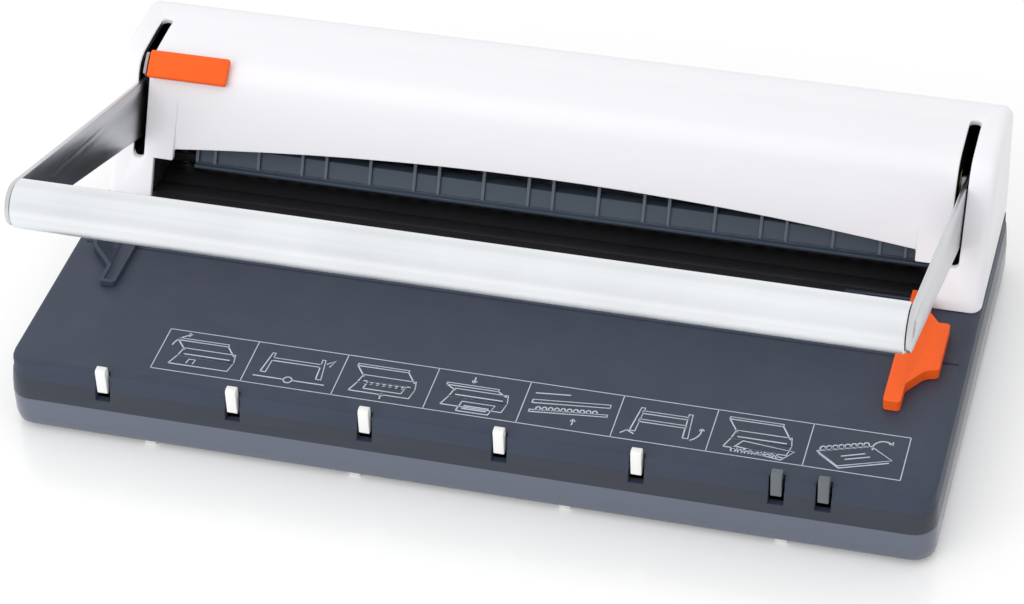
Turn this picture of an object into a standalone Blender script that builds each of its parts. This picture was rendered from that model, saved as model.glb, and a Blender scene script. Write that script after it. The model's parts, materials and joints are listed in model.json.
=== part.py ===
"""Desk wire binding machine: a punch and a wire closer worked by one wide handle.

Sizes are in metres, +X to the machine's right, +Y to its back and +Z up. The pieces are
placed from the base's front edge and underside, and one empty moves the whole machine so
that the world's origin lies under its middle, on the surface that it stands on.
"""

import math

import bmesh
import bpy
from mathutils import Matrix, Vector

MM = 0.001
DEG = math.pi / 180
FULL_TURN = 2 * math.pi
HALF_TURN = FULL_TURN / 2
QUARTER_TURN = FULL_TURN / 4

# General fits
SEAT = 0.3 * MM            # gap left between two pieces that touch
OVERRUN = 20 * MM          # how far a cutter runs past what it cuts
WELD = 0.001 * MM          # points closer than this are one point
SMOOTH_ANGLE = 30 * DEG    # flatter edges than this are shaded smooth
SOFT_ANGLE = 40 * DEG      # sharper edges than this are softened
ARC_STEPS = 6              # chords in a rounded corner
ROUND_STEPS = 32           # sides of a large round piece
SMALL_STEPS = 20           # sides of a small round piece
SCREW_STEPS = 12           # sides of a screw

# Wire binding pattern, three loops to the inch
WIRE_PITCH = 25.4 * MM / 3
ROW_MARGIN = 14.5 * MM     # least distance from the throat's end to the last hole's centre
PIN_SIDE = 3.6 * MM        # square punch pin
PIN_CLEARANCE = 0.3 * MM   # each side, in the die and in the guide
HOLE_TO_EDGE = 4.5 * MM    # hole's centre to the paper's edge

# Base
CHEEK_WIDTH = 20 * MM      # closed part of the cover beside the throat
THROAT_HALF = 155 * MM
BASE_HALF = THROAT_HALF + CHEEK_WIDTH
TABLE_DEPTH = 107.5 * MM   # open paper table in front of the cover
COVER_DEPTH = 71 * MM
SIDE_INSET = 1.7 * MM      # how far the top edge stands in from the bulging side
FRONT_INSET = 4 * MM
BASE_DEPTH = TABLE_DEPTH + COVER_DEPTH + SIDE_INSET
BASE_HEIGHT = 28.4 * MM
BASE_WALL = 2.5 * MM
BASE_CORNER = 9 * MM
TABLE_LINE_LEAD = 29.2 * MM  # fine groove across the table, ahead of the cover
TABLE_LINE_WIDTH = 1 * MM
TABLE_LINE_DEEP = 0.8 * MM
TABLE_LINE_END = 3 * MM    # its ends in from the table's edges
# Height share and inset share of each line round the base, from its foot to its top
BASE_PROFILE_SHARES = (
    (0.0, 0.50), (0.035, 0.18), (0.14, 0.0), (0.48, 0.0), (0.64, 0.13),
    (0.78, 0.36), (0.84, 0.60), (0.955, 0.62), (0.985, 0.72), (1.0, 1.0),
)

# The same for the hollow inside, which lies one wall further in
BASE_HOLLOW_SHARES = ((-0.2, 0.5), (0.0, 0.5), (0.14, 0.12), (0.48, 0.12), (0.80, 0.7))

# Bottom plate and feet
PLATE_INSET = 5.4 * MM
PLATE_THICK = 2.5 * MM
FOOT_HEIGHT = 2 * MM
FOOT_RADIUS = 8 * MM
FOOT_TAPER = 1 * MM
FOOT_SIDE = 25 * MM        # foot's centre in from the base's side
FOOT_END = 22 * MM         # foot's centre in from the base's back
PADS = 4                   # small feet under the front edge
PAD_SPACING = 80 * MM
PAD_WIDTH = 5 * MM
PAD_DEPTH = 6.5 * MM
PAD_ROUND = 1 * MM
PAD_EDGE = 0.3 * MM

# Screws of one thread, with pan heads or with countersunk ones
SCREW_RADIUS = 1.5 * MM
SCREW_HEAD_RADIUS = 3 * MM
SCREW_HEAD_HEIGHT = 1.2 * MM
SINK_HEAD_HEIGHT = 1.3 * MM
SCREW_HOLE_PAST = 4 * MM   # a hole goes this far past the screw's tip
PLATE_SCREW_LENGTH = 14 * MM
PLATE_SCREW_OUT = 12 * MM  # beside the chip tray
PLATE_SCREW_YS_SHARES = (0.22, 0.53)
FRAME_SCREW_LENGTH = 7 * MM
FRAME_SCREW_YS_SHARES = (0.2, 0.55)
COVER_SCREW_LENGTH = 12 * MM
COVER_SCREW_IN = 2.8 * MM  # from the inside of the cover's back
COVER_SCREW_XS_SHARES = (-0.75, -0.25, 0.25, 0.75)
HANDLE_SCREW_LENGTH = 11 * MM
BOSS_RADIUS = 4.5 * MM

# Wire pegs along the front edge, placed by loops of wire
PEG_EVERY = 6              # loops from one peg to the next
PEG_AFTER = 2              # loops from the last of these to one more
GREY_PEGS = 2              # the last ones
PEG_FIRST_IN = 18.9 * MM   # first peg in from the throat's end
PEG_WIDTH = 4 * MM
PEG_FRONT = 1.2 * MM
PEG_DEPTH = 3.4 * MM
PEG_RISE = 3.2 * MM        # above the table
PEG_HEIGHT = 10.8 * MM
PEG_TAIL = 8 * MM          # foot reaching back under the table
PEG_ROUND = 1.4 * MM
NOTCH_GAP = 0.8 * MM
NOTCH_FOOT = 11 * MM       # notch runs this far below the table

# Cover
COVER_WALL = 2.5 * MM
COVER_SLOPE = 28.6 * DEG   # front plane's lean back from upright
COVER_ABOVE_PIVOT = 21.3 * MM
CROWN_RISE = 0.8 * MM
CROWN_SHARE = 0.46
FRONT_ROUND = 12 * MM
CROWN_ROUND = 70 * MM
BACK_ROUND = 6.6 * MM
END_ROUND = 4 * MM
COVER_SKIRT = 5 * MM       # wall modelled below the seam, then trimmed flat

# Throat in the cover's front
THROAT_STEP_IN = 8 * MM    # from the throat's end
THROAT_CHEEK_RISE = 15 * MM
THROAT_END_RISE = 18.2 * MM
THROAT_ARCH_RISE = 25.3 * MM
ARCH_STEPS = 16
PANEL_STEP = 2.2 * MM      # centre panel stands in by this at the table, fading upwards
PANEL_FADE_RISE = 37.6 * MM

# Handle pivot, arms and bar
PIVOT_BACK = 42.5 * MM     # behind the cover's front edge
PIVOT_RISE = 27.6 * MM     # above the table
ARM_REACH = 149.6 * MM
ARM_REST = 17.6 * DEG      # arm's rise from level when at rest
HANDLE_DOWN = 12 * DEG
HANDLE_UP = 82 * DEG
ARM_TIP = 8.3 * MM         # radius of the arm's end round the bar's axis
ARM_HUB = 12 * MM          # and of its end at the shaft
HUB_DROP = 5.4 * MM        # middle of that end below the shaft's axis at rest
ARM_THICK = 1.8 * MM
BAR_RADIUS = 9 * MM
SHAFT_RADIUS = 4 * MM
SHAFT_PAST = 0.6 * MM
NUT_RADIUS = 6.5 * MM
NUT_THICK = 3 * MM
SLOT_GAP = 0.5 * MM        # beside the blade and the arm
SLOT_END_GAP = 1 * MM

# Side frames and bushes
FRAME_GAP = 1 * MM
FRAME_THICK = 2.5 * MM
FRAME_CLEARANCE = 1.9 * MM
FRAME_FRONT_IN = 2 * MM
FRAME_TAIL = 10 * MM
FRAME_FLANGE = 10 * MM
FRAME_ROUND = 5 * MM
BUSH_WALL = 2 * MM
BUSH_FLANGE_THICK = 2.2 * MM
BUSH_FLANGE_OVER = 2 * MM

# Wire size selector on the handle's shaft
BLADE_GAP = 1.1 * MM
BLADE_THICK = 1.2 * MM
BLADE_HUB = 7.5 * MM
BLADE_FLANK = 70 * DEG     # turn between the blade's arc and its hub's arc
ARM_GAP = 0.4 * MM
TAB_START = 38.2 * DEG
TAB_END = 61.8 * DEG
TAB_SWING = 45 * DEG
TAB_LEAD = 2 * DEG         # cover's outline is cleared this far below the tab too
TAB_THICK = 2.9 * MM
TAB_CLEARANCE = 0.4 * MM
TAB_LENGTH = 32.6 * MM
TAB_EDGE = 0.9 * MM

# Fixed bed: closing anvil, die, paper stop and punch guide
OPENING_BACK_IN = 6.5 * MM
ANVIL_DEPTH = 16.9 * MM
BED_HEIGHT = 8.4 * MM
GROOVE_WIDTH = 7 * MM
GROOVE_DEEP = 1.6 * MM
DIE_DEPTH = 10.5 * MM
STOP_THICK = 2 * MM
PAPER_GAP = 3 * MM
GUIDE_THICK = 3.6 * MM
POST_RADIUS = 3 * MM
POST_IN = 5 * MM           # post's centre in from the throat's end
POST_HEAD = 2 * MM         # post's top below the shaft's axis

# Ram, worked by two eccentric cams
ECCENTRIC = 5 * MM
ECCENTRIC_LAG = 34 * DEG
RAM_PER_RADIAN = 0.9 * ECCENTRIC
CAM_RADIUS = 10 * MM
CAM_HUB = 5.8 * MM
CAM_THICK = 8 * MM
CAM_IN = 30 * MM           # cam's centre in from the throat's end
CAM_MARGIN = 11 * DEG
CAM_FLANK = 30 * DEG       # turn between the cam's arc and its hub's arc
PIN_ENTRY = 1 * MM         # pin tips below the die's face at rest
PIN_STAGGER = 0.5 * MM
COMB_BACK = 1.8 * MM       # height of the strip that carries the pins
RAM_END_IN = 1 * MM
RAM_BACK_IN = 1.5 * MM
FOLLOWER_REACH = 9 * MM
FOLLOWER_SIDE = 3 * MM
LUG_REACH = 12.5 * MM
LUG_IN = 2.5 * MM
LUG_WIDTH = 8.6 * MM

# Press bar, the ribbed bar seen in the throat
PRESS_LEFT_IN = 14.5 * MM
PRESS_RIGHT_IN = 2.9 * MM
PRESS_LIFT = 8.6 * MM      # lower edge above the table at rest
PRESS_HEIGHT = 14 * MM
PRESS_LAG = 7.9 * MM       # lower edge behind the anvil's front edge
PRESS_LIP = 2.6 * MM
PRESS_LIP_OUT = 1.1 * MM
CELL_DEEP = 1 * MM
CELL_ABOVE_LIP = 0.5 * MM
RIB_WIDTH = 1.3 * MM
RIB_PERIOD = 44.5 * MM
NARROW_CELL = 9.3 * MM

# Ram springs
SPRING_RADIUS = 3.4 * MM   # to the middle of the wire
SPRING_WIRE = 0.5 * MM     # radius of the wire
SPRING_TURNS = 6
SPRING_TURN_POINTS = 10
SEAT_TAB_THICK = 2.5 * MM

# Edge guides on the paper table
GUIDE_MARGIN = 7.5 * MM    # sliding guide's inner edge in from the throat's end
GUIDE_TOP = 4.3 * MM
GUIDE_BODY = 17 * MM       # widest part, across
GUIDE_KNEE = 12.1 * MM
GUIDE_FINGER = 6.4 * MM
GUIDE_HEEL = 12.5 * MM
GUIDE_TIP = 8.3 * MM
GUIDE_TONGUE = 4 * MM
GUIDE_LENGTH = 58.9 * MM   # along the table to the tip's end
GUIDE_TIP_GAP = 1.5 * MM   # tip's end in front of the cover
OUTWARD_TRAVEL = 2.4 * MM  # of the sliding guide
INWARD_TRAVEL = 18 * MM
# Distance from the finger's end, as a share of the guide's length
FINGER_SHARE = 0.185
KNEE_SHARE = 0.331
SHOULDER_SHARE = 0.358
BODY_SHARE = 0.813
HEEL_SHARE = 0.81
TIP_SHARE = 0.908
GUIDE_SOFT = 3 * MM
FIXED_MARGIN = 5.5 * MM    # the same for the fixed guide, which is thin and rimmed
FIXED_TOP = 2.2 * MM
FIXED_LENGTH = 53.2 * MM
FIXED_SHOULDER_SHARE = 0.4
RIM = 1.4 * MM
RIM_DEEP = 1 * MM
SLIDER_SLOT_FRONT = 1.1 * MM
SLIDER_SLOT_WIDTH = 3.2 * MM
SLIDER_NECK = 2.6 * MM
SLIDER_END_GAP = 0.4 * MM
SLIDER_HEAD = 5 * MM
SLIDER_HEAD_THICK = 3 * MM

# Chip tray under the die, drawn out at the back
TRAY_HALF = 118 * MM
TRAY_LEAD = 11.5 * MM      # tray's front edge in front of the cover's
TRAY_HEIGHT = 15 * MM
TRAY_WALL = 1.8 * MM
TRAY_PANEL = 3.4 * MM
TRAY_PANEL_RISE = 2.6 * MM
TRAY_GAP = 0.5 * MM
SCOOP_RADIUS = 14 * MM
SCOOP_DEEP = 5 * MM
RUNNER_WIDTH = 2.4 * MM
RUNNER_HEIGHT = 3.2 * MM

# Places worked out from the sizes above
PLATE_TOP = SEAT + PLATE_THICK
PLATE_SCREW_X = TRAY_HALF + PLATE_SCREW_OUT
PAD_FRONT = FRONT_INSET * BASE_PROFILE_SHARES[0][1] + SEAT
THROAT_STEP_X = THROAT_HALF - THROAT_STEP_IN
GUIDE_INNER = THROAT_HALF - GUIDE_MARGIN
COVER_FRONT = TABLE_DEPTH
COVER_BACK = COVER_FRONT + COVER_DEPTH
COVER_HALF = BASE_HALF - SIDE_INSET + SEAT
COVER_SEAM = BASE_HEIGHT + SEAT
PIVOT_Y = COVER_FRONT + PIVOT_BACK
PIVOT_Z = BASE_HEIGHT + PIVOT_RISE
COVER_TOP = PIVOT_Z + COVER_ABOVE_PIVOT
FRAME_INNER = THROAT_HALF + FRAME_GAP
FRAME_OUTER = FRAME_INNER + FRAME_THICK
BLADE_INNER = FRAME_OUTER + BLADE_GAP
BLADE_OUTER = BLADE_INNER + BLADE_THICK
ARM_INNER = BLADE_OUTER + ARM_GAP
ARM_OUTER = ARM_INNER + ARM_THICK
BED_HALF = FRAME_INNER - SEAT
OPENING_FRONT = COVER_FRONT + OPENING_BACK_IN
ANVIL_FRONT = OPENING_FRONT + SEAT
ANVIL_BACK = ANVIL_FRONT + ANVIL_DEPTH
DIE_FRONT = ANVIL_BACK + SEAT
DIE_BACK = DIE_FRONT + DIE_DEPTH
STOP_FRONT = DIE_BACK + SEAT
STOP_BACK = STOP_FRONT + STOP_THICK
HOLE_Y = STOP_FRONT - HOLE_TO_EDGE
BED_FOOT = BASE_HEIGHT - BED_HEIGHT
GUIDE_FOOT_Z = BASE_HEIGHT + PAPER_GAP
GUIDE_HEAD_Z = GUIDE_FOOT_Z + GUIDE_THICK
POST_X = THROAT_HALF - POST_IN
POST_Y = (DIE_FRONT + DIE_BACK) / 2
RAM_DOWN = RAM_PER_RADIAN * HANDLE_DOWN
COMB_FOOT = GUIDE_HEAD_Z + RAM_DOWN + SEAT
RAM_FOOT = COMB_FOOT + COMB_BACK + SEAT
ECCENTRIC_Z = PIVOT_Z - ECCENTRIC * math.sin(ECCENTRIC_LAG)
RAM_TOP = ECCENTRIC_Z - CAM_RADIUS - SEAT
RAM_HALF = THROAT_HALF - RAM_END_IN
RAM_FRONT = DIE_FRONT
RAM_BACK = DIE_BACK + RAM_BACK_IN
CAM_X = THROAT_HALF - CAM_IN
LUG_BACK = RAM_BACK + LUG_REACH
LUG_OUTER = THROAT_HALF - LUG_IN
LUG_INNER = LUG_OUTER - LUG_WIDTH
SPRING_X = (LUG_OUTER + LUG_INNER) / 2
SPRING_Y = LUG_BACK - LUG_WIDTH / 2 - SPRING_WIRE
FRAME_FRONT = OPENING_FRONT + FRAME_FRONT_IN
FRAME_BACK = LUG_BACK + FRAME_TAIL
OPENING_BACK = FRAME_BACK + FRAME_FRONT_IN
OPENING_HALF = FRAME_OUTER + FRAME_GAP
FRAME_FOOT = PLATE_TOP + SEAT
FRAME_SCREW_X = (FRAME_INNER + FRAME_OUTER - FRAME_FLANGE) / 2
COVER_SCREW_Y = COVER_BACK - COVER_WALL - COVER_SCREW_IN
BAR_Y = PIVOT_Y - ARM_REACH * math.cos(ARM_REST)
CENTRE_Y = (BAR_Y - BAR_RADIUS + BASE_DEPTH) / 2
TRAY_FOOT = PLATE_TOP + SEAT
TRAY_FRONT = COVER_FRONT - TRAY_LEAD
TRAY_TOP = TRAY_FOOT + TRAY_HEIGHT
TRAY_PANEL_TOP = TRAY_TOP + TRAY_PANEL_RISE
SLIDER_X = GUIDE_INNER + GUIDE_TONGUE / 2


def collection(name):
    """New collection in the scene."""
    group = bpy.data.collections.new(name)
    bpy.context.scene.collection.children.link(group)
    return group


def finish(name, colour, roughness, metallic=0.0):
    """Plain Principled material."""
    material = bpy.data.materials.new(name)
    material.use_nodes = True
    shader = material.node_tree.nodes["Principled BSDF"]
    shader.inputs["Base Color"].default_value = (*colour, 1.0)
    shader.inputs["Roughness"].default_value = roughness
    shader.inputs["Metallic"].default_value = metallic
    material.diffuse_color = (*colour, 1.0)
    return material


def empty(name, place, parent=None):
    """Empty that carries the pieces of one moving body."""
    marker = bpy.data.objects.new(name, None)
    marker.location = place
    marker.parent = parent
    PARTS.objects.link(marker)
    return marker


def piece(name, data, material, parent, place=(0, 0, 0), turn=(0, 0, 0), smooth=None):
    """Named object of one piece, hung from the empty of its body."""
    data.materials.clear()
    data.materials.append(material)
    if smooth is not None and isinstance(data, bpy.types.Mesh):
        data.shade_smooth()
        data.set_sharp_from_angle(angle=smooth)
    item = bpy.data.objects.new(name, data)
    item.location = place
    item.rotation_euler = turn
    item.parent = parent
    PARTS.objects.link(item)
    return item


def helper(name, mesh, parent):
    """Hidden solid that cuts or is joined to a piece."""
    item = bpy.data.objects.new(name, mesh)
    item.parent = parent
    item.hide_render = True
    item.display_type = "WIRE"
    CUTTERS.objects.link(item)
    return item


def combine(item, other, operation="DIFFERENCE"):
    """Boolean modifier with another solid."""
    modifier = item.modifiers.new(other.name, "BOOLEAN")
    modifier.operation = operation
    modifier.object = other
    modifier.solver = "EXACT"


def finished_mesh(name, builder):
    """Mesh from a bmesh that the builder function fills."""
    work = bmesh.new()
    builder(work)
    mesh = bpy.data.meshes.new(name)
    work.to_mesh(mesh)
    work.free()
    return mesh


def add_box(work, low, high):
    """Box between two corners."""
    size = Vector(high) - Vector(low)
    middle = (Vector(high) + Vector(low)) / 2
    place = Matrix.Translation(middle) @ Matrix.Diagonal((*size, 1))
    bmesh.ops.create_cube(work, size=1, matrix=place)


def box_mesh(name, *corners):
    """One or more separate boxes, each given by its low and high corner."""
    def build(work):
        for low, high in corners:
            add_box(work, low, high)
    return finished_mesh(name, build)


def rod_mesh(name, radius, rods, along="Z", steps=SMALL_STEPS, end_radius=None):
    """Round rods of one form, each given by its low end and its length."""
    turns = {"X": Matrix.Rotation(QUARTER_TURN, 4, "Y"), "Y": Matrix.Rotation(-QUARTER_TURN, 4, "X"),
             "Z": Matrix.Identity(4)}

    def build(work):
        for low_end, length in rods:
            lift = Matrix.Translation((0, 0, length / 2))
            place = Matrix.Translation(low_end) @ turns[along] @ lift
            bmesh.ops.create_cone(work, cap_ends=True, segments=steps, radius1=radius,
                                  radius2=end_radius or radius, depth=length, matrix=place)
    return finished_mesh(name, build)


def rounded(points, radii, steps=ARC_STEPS):
    """Closed outline whose corners are rounded, each to its own radius."""
    outline = []
    for index, (corner, radius) in enumerate(zip(points, radii)):
        here = Vector(corner)
        if radius <= 0:
            outline.append(here)
            continue
        before = (Vector(points[index - 1]) - here).normalized()
        after = (Vector(points[(index + 1) % len(points)]) - here).normalized()
        half = before.angle(after) / 2
        centre = here + (before + after).normalized() * (radius / math.sin(half))
        first = here + before * (radius / math.tan(half)) - centre
        last = here + after * (radius / math.tan(half)) - centre
        start = math.atan2(first.y, first.x)
        sweep = (math.atan2(last.y, last.x) - start + HALF_TURN) % FULL_TURN - HALF_TURN
        outline += arc(centre, radius, start, start + sweep, steps)
    return outline


def arc(centre, radius, start, end, steps=ARC_STEPS):
    """Points along an arc, both ends included."""
    angles = [start + (end - start) * step / steps for step in range(steps + 1)]
    return [Vector(centre) + Vector((math.cos(a), math.sin(a))) * radius for a in angles]


def circle(centre, radius, steps=SMALL_STEPS):
    """Closed round outline."""
    return arc(centre, radius, 0, FULL_TURN, steps)[:-1]


def inset(points, distances):
    """Anticlockwise outline with each edge moved inwards by its own distance."""
    lines = []
    for index, distance in enumerate(distances):
        start = Vector(points[index])
        along = (Vector(points[(index + 1) % len(points)]) - start).normalized()
        lines.append((start + Vector((-along.y, along.x)) * distance, along))
    moved = []
    for index, (start, along) in enumerate(lines):
        other, direction = lines[index - 1]
        cross = along.x * direction.y - along.y * direction.x
        gap = other - start
        moved.append(start + along * ((gap.x * direction.y - gap.y * direction.x) / cross))
    return moved


PLANES = {
    "XY": Matrix(((1, 0, 0, 0), (0, 1, 0, 0), (0, 0, 1, 0), (0, 0, 0, 1))),
    "YZ": Matrix(((0, 0, 1, 0), (1, 0, 0, 0), (0, 1, 0, 0), (0, 0, 0, 1))),
    "XZ": Matrix(((1, 0, 0, 0), (0, 0, -1, 0), (0, 1, 0, 0), (0, 0, 0, 1))),
}


def plate_mesh(name, plane, low, high, *loops):
    """Flat outline, with holes, filled and drawn out between two places on its normal."""
    curve = bpy.data.curves.new(name, "CURVE")
    curve.dimensions = "2D"
    curve.fill_mode = "BOTH"
    curve.extrude = (high - low) / 2
    for loop in loops:
        spline = curve.splines.new("POLY")
        spline.points.add(len(loop) - 1)
        for point, place in zip(spline.points, loop):
            point.co = (*place, 0, 1)
        spline.use_cyclic_u = True
    shape = bpy.data.objects.new(name, curve)
    bpy.context.scene.collection.objects.link(shape)
    graph = bpy.context.evaluated_depsgraph_get()
    mesh = bpy.data.meshes.new_from_object(shape.evaluated_get(graph))
    mesh.name = name
    side = -1 if plane == "XZ" else 1
    rise = Matrix.Translation((0, 0, side * (low + high) / 2))
    work = bmesh.new()
    work.from_mesh(mesh)
    bmesh.ops.remove_doubles(work, verts=work.verts, dist=WELD)
    bmesh.ops.transform(work, matrix=PLANES[plane] @ rise, verts=work.verts)
    bmesh.ops.recalc_face_normals(work, faces=work.faces)
    work.to_mesh(mesh)
    work.free()
    bpy.data.objects.remove(shape)
    bpy.data.curves.remove(curve)
    return mesh


def loft_mesh(name, rings, start_cap, end_cap, open_edge=False):
    """Skin over matching rings of points; open_edge leaves out each ring's first edge."""
    def build(work):
        loops = [[work.verts.new(point) for point in ring] for ring in rings]
        count = len(loops[0])
        for lower, upper in zip(loops, loops[1:]):
            for index in range(1 if open_edge else 0, count):
                after = (index + 1) % count
                work.faces.new((lower[index], lower[after], upper[after], upper[index]))
        if start_cap:
            work.faces.new(list(reversed(loops[0])))
        if end_cap:
            work.faces.new(loops[-1])
    return finished_mesh(name, build)


def solidify(item, thickness):
    """Wall inside an open skin."""
    modifier = item.modifiers.new("wall", "SOLIDIFY")
    modifier.thickness = thickness
    modifier.offset = -1
    modifier.use_even_offset = True


def bevel(item, width, segments=2):
    """Soft edges."""
    modifier = item.modifiers.new("soft_edges", "BEVEL")
    modifier.width = width
    modifier.segments = segments
    modifier.limit_method = "ANGLE"
    modifier.angle_limit = SOFT_ANGLE


def turned_mesh(name, profile, closed=False):
    """Edges of a turned profile, each point a radius and a height."""
    def build(work):
        verts = [work.verts.new((radius, 0, height)) for radius, height in profile]
        for first, second in zip(verts, verts[1:]):
            work.edges.new((first, second))
        if closed:
            work.edges.new((verts[-1], verts[0]))
    return finished_mesh(name, build)


def screw(item, steps=SMALL_STEPS):
    """Turn a profile round its own Z axis."""
    modifier = item.modifiers.new("turn", "SCREW")
    modifier.steps = steps
    modifier.render_steps = steps
    modifier.use_merge_vertices = True
    modifier.merge_threshold = WELD
    modifier.use_smooth_shade = True


def screw_mesh(name, length, sunk=False):
    """Screw that points up from the seat of its head, or from a countersunk head's flat."""
    tip = [(0, length), (SCREW_RADIUS, length - SCREW_RADIUS)]
    if sunk:
        return turned_mesh(name, [*tip, (SCREW_RADIUS, SINK_HEAD_HEIGHT), (SCREW_HEAD_RADIUS, 0),
                                  (0, 0)])
    drop = SCREW_HEAD_HEIGHT
    return turned_mesh(name, [*tip, (SCREW_RADIUS, 0), (SCREW_HEAD_RADIUS, 0),
                              (SCREW_HEAD_RADIUS - drop / 2, -drop), (0, -drop)])


def add_screws(name, mesh, places, parent):
    """One screw at each place."""
    for number, place in enumerate(places, 1):
        screw(piece(f"{name}_{number}", mesh, STEEL, parent, place), SCREW_STEPS)


def hole_places():
    """Places of the binding holes along the throat."""
    room = 2 * (THROAT_HALF - ROW_MARGIN)
    gaps = math.floor(room / WIRE_PITCH)
    return [(index - gaps / 2) * WIRE_PITCH for index in range(gaps + 1)]


def base_ring(height_share, inset_share, extra=0.0):
    """Line round the base at one height, with its own inset at the front and sides."""
    side = SIDE_INSET * inset_share + extra
    front = FRONT_INSET * inset_share + extra
    half = BASE_HALF - side
    corners = [(-half, front), (half, front), (half, BASE_DEPTH - side),
               (-half, BASE_DEPTH - side)]
    outline = rounded(corners, [BASE_CORNER - side] * len(corners))
    return [(point.x, point.y, BASE_HEIGHT * height_share) for point in outline]


def peg_places():
    """Places of the wire pegs along the front edge."""
    first = -(THROAT_HALF - PEG_FIRST_IN)
    steps = math.floor(-2 * first / (PEG_EVERY * WIRE_PITCH))
    loops = [PEG_EVERY * step for step in range(steps + 1)]
    return [first + count * WIRE_PITCH for count in (*loops, loops[-1] + PEG_AFTER)]


def plate_screw_places():
    """Places of the bottom plate's screws and of the bosses that hold them."""
    return [(side * PLATE_SCREW_X, BASE_DEPTH * share)
            for share in PLATE_SCREW_YS_SHARES for side in (-1, 1)]


def frame_screw_places():
    """Places of the screws that hold the side frames' feet to the bottom plate."""
    depth = FRAME_BACK - FRAME_FRONT
    return [(side * FRAME_SCREW_X, FRAME_FRONT + depth * share)
            for share in FRAME_SCREW_YS_SHARES for side in (-1, 1)]


def cover_screw_places():
    """Places of the screws that hold the cover from below, along its back."""
    return [(COVER_HALF * share, COVER_SCREW_Y) for share in COVER_SCREW_XS_SHARES]


def screw_holes(name, places, low, length):
    """Cutter of upright holes for screws."""
    return rod_mesh(name, SCREW_RADIUS + SEAT, [((x, y, low), length) for x, y in places],
                    steps=SCREW_STEPS)


def build_base(machine):
    """Moulded base with its table, front pegs' notches and openings."""
    rings = [base_ring(height, share) for height, share in BASE_PROFILE_SHARES]
    shell = piece("base_shell", loft_mesh("base_shell", rings, True, True), SLATE, machine,
                  smooth=SMOOTH_ANGLE)
    roof_share = 1 - BASE_WALL / BASE_HEIGHT
    levels = [*BASE_HOLLOW_SHARES, (roof_share, BASE_HOLLOW_SHARES[-1][1])]
    hollow = [base_ring(height, share, BASE_WALL) for height, share in levels]
    combine(shell, helper("base_hollow", loft_mesh("base_hollow", hollow, True, True), machine))
    boss_foot = PLATE_TOP + SEAT
    boss_height = BASE_HEIGHT - BASE_WALL / 2 - boss_foot
    bosses = rod_mesh("bosses", BOSS_RADIUS,
                      [((x, y, boss_foot), boss_height) for x, y in plate_screw_places()])
    combine(shell, helper("bosses", bosses, machine), "UNION")
    slot_front = COVER_FRONT + SLIDER_SLOT_FRONT
    slot_end = SLIDER_NECK / 2 + SLIDER_END_GAP
    slot_low = SLIDER_X - INWARD_TRAVEL - slot_end
    slot_high = SLIDER_X + OUTWARD_TRAVEL + slot_end
    line_back = COVER_FRONT - TABLE_LINE_LEAD
    line_half = BASE_HALF - SIDE_INSET - TABLE_LINE_END
    cuts = [((-OPENING_HALF, OPENING_FRONT, BASE_HEIGHT / 2),
             (OPENING_HALF, OPENING_BACK, BASE_HEIGHT + OVERRUN)),
            ((slot_low, slot_front, BASE_HEIGHT / 2),
             (slot_high, slot_front + SLIDER_SLOT_WIDTH, BASE_HEIGHT + OVERRUN)),
            ((-line_half, line_back - TABLE_LINE_WIDTH, BASE_HEIGHT - TABLE_LINE_DEEP),
             (line_half, line_back, BASE_HEIGHT + OVERRUN))]
    for x in peg_places():
        reach = PEG_WIDTH / 2 + NOTCH_GAP
        cuts.append(((x - reach, -OVERRUN, BASE_HEIGHT - NOTCH_FOOT),
                     (x + reach, PEG_FRONT + PEG_DEPTH + NOTCH_GAP, BASE_HEIGHT + OVERRUN)))
    combine(shell, helper("base_cuts", box_mesh("base_cuts", *cuts), machine))
    bay_half = TRAY_HALF + TRAY_GAP
    bay = box_mesh("tray_bay", ((-bay_half, BASE_DEPTH - OVERRUN, PLATE_TOP),
                                (bay_half, BASE_DEPTH + OVERRUN, TRAY_PANEL_TOP + TRAY_GAP)))
    combine(shell, helper("tray_bay", bay, machine))
    boss_holes = screw_holes("boss_holes", plate_screw_places(), 0,
                             PLATE_SCREW_LENGTH + SCREW_HOLE_PAST)
    combine(shell, helper("boss_holes", boss_holes, machine))
    roof_holes = screw_holes("roof_holes", cover_screw_places(), BASE_HEIGHT - 2 * BASE_WALL,
                             4 * BASE_WALL)
    combine(shell, helper("roof_holes", roof_holes, machine))


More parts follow.
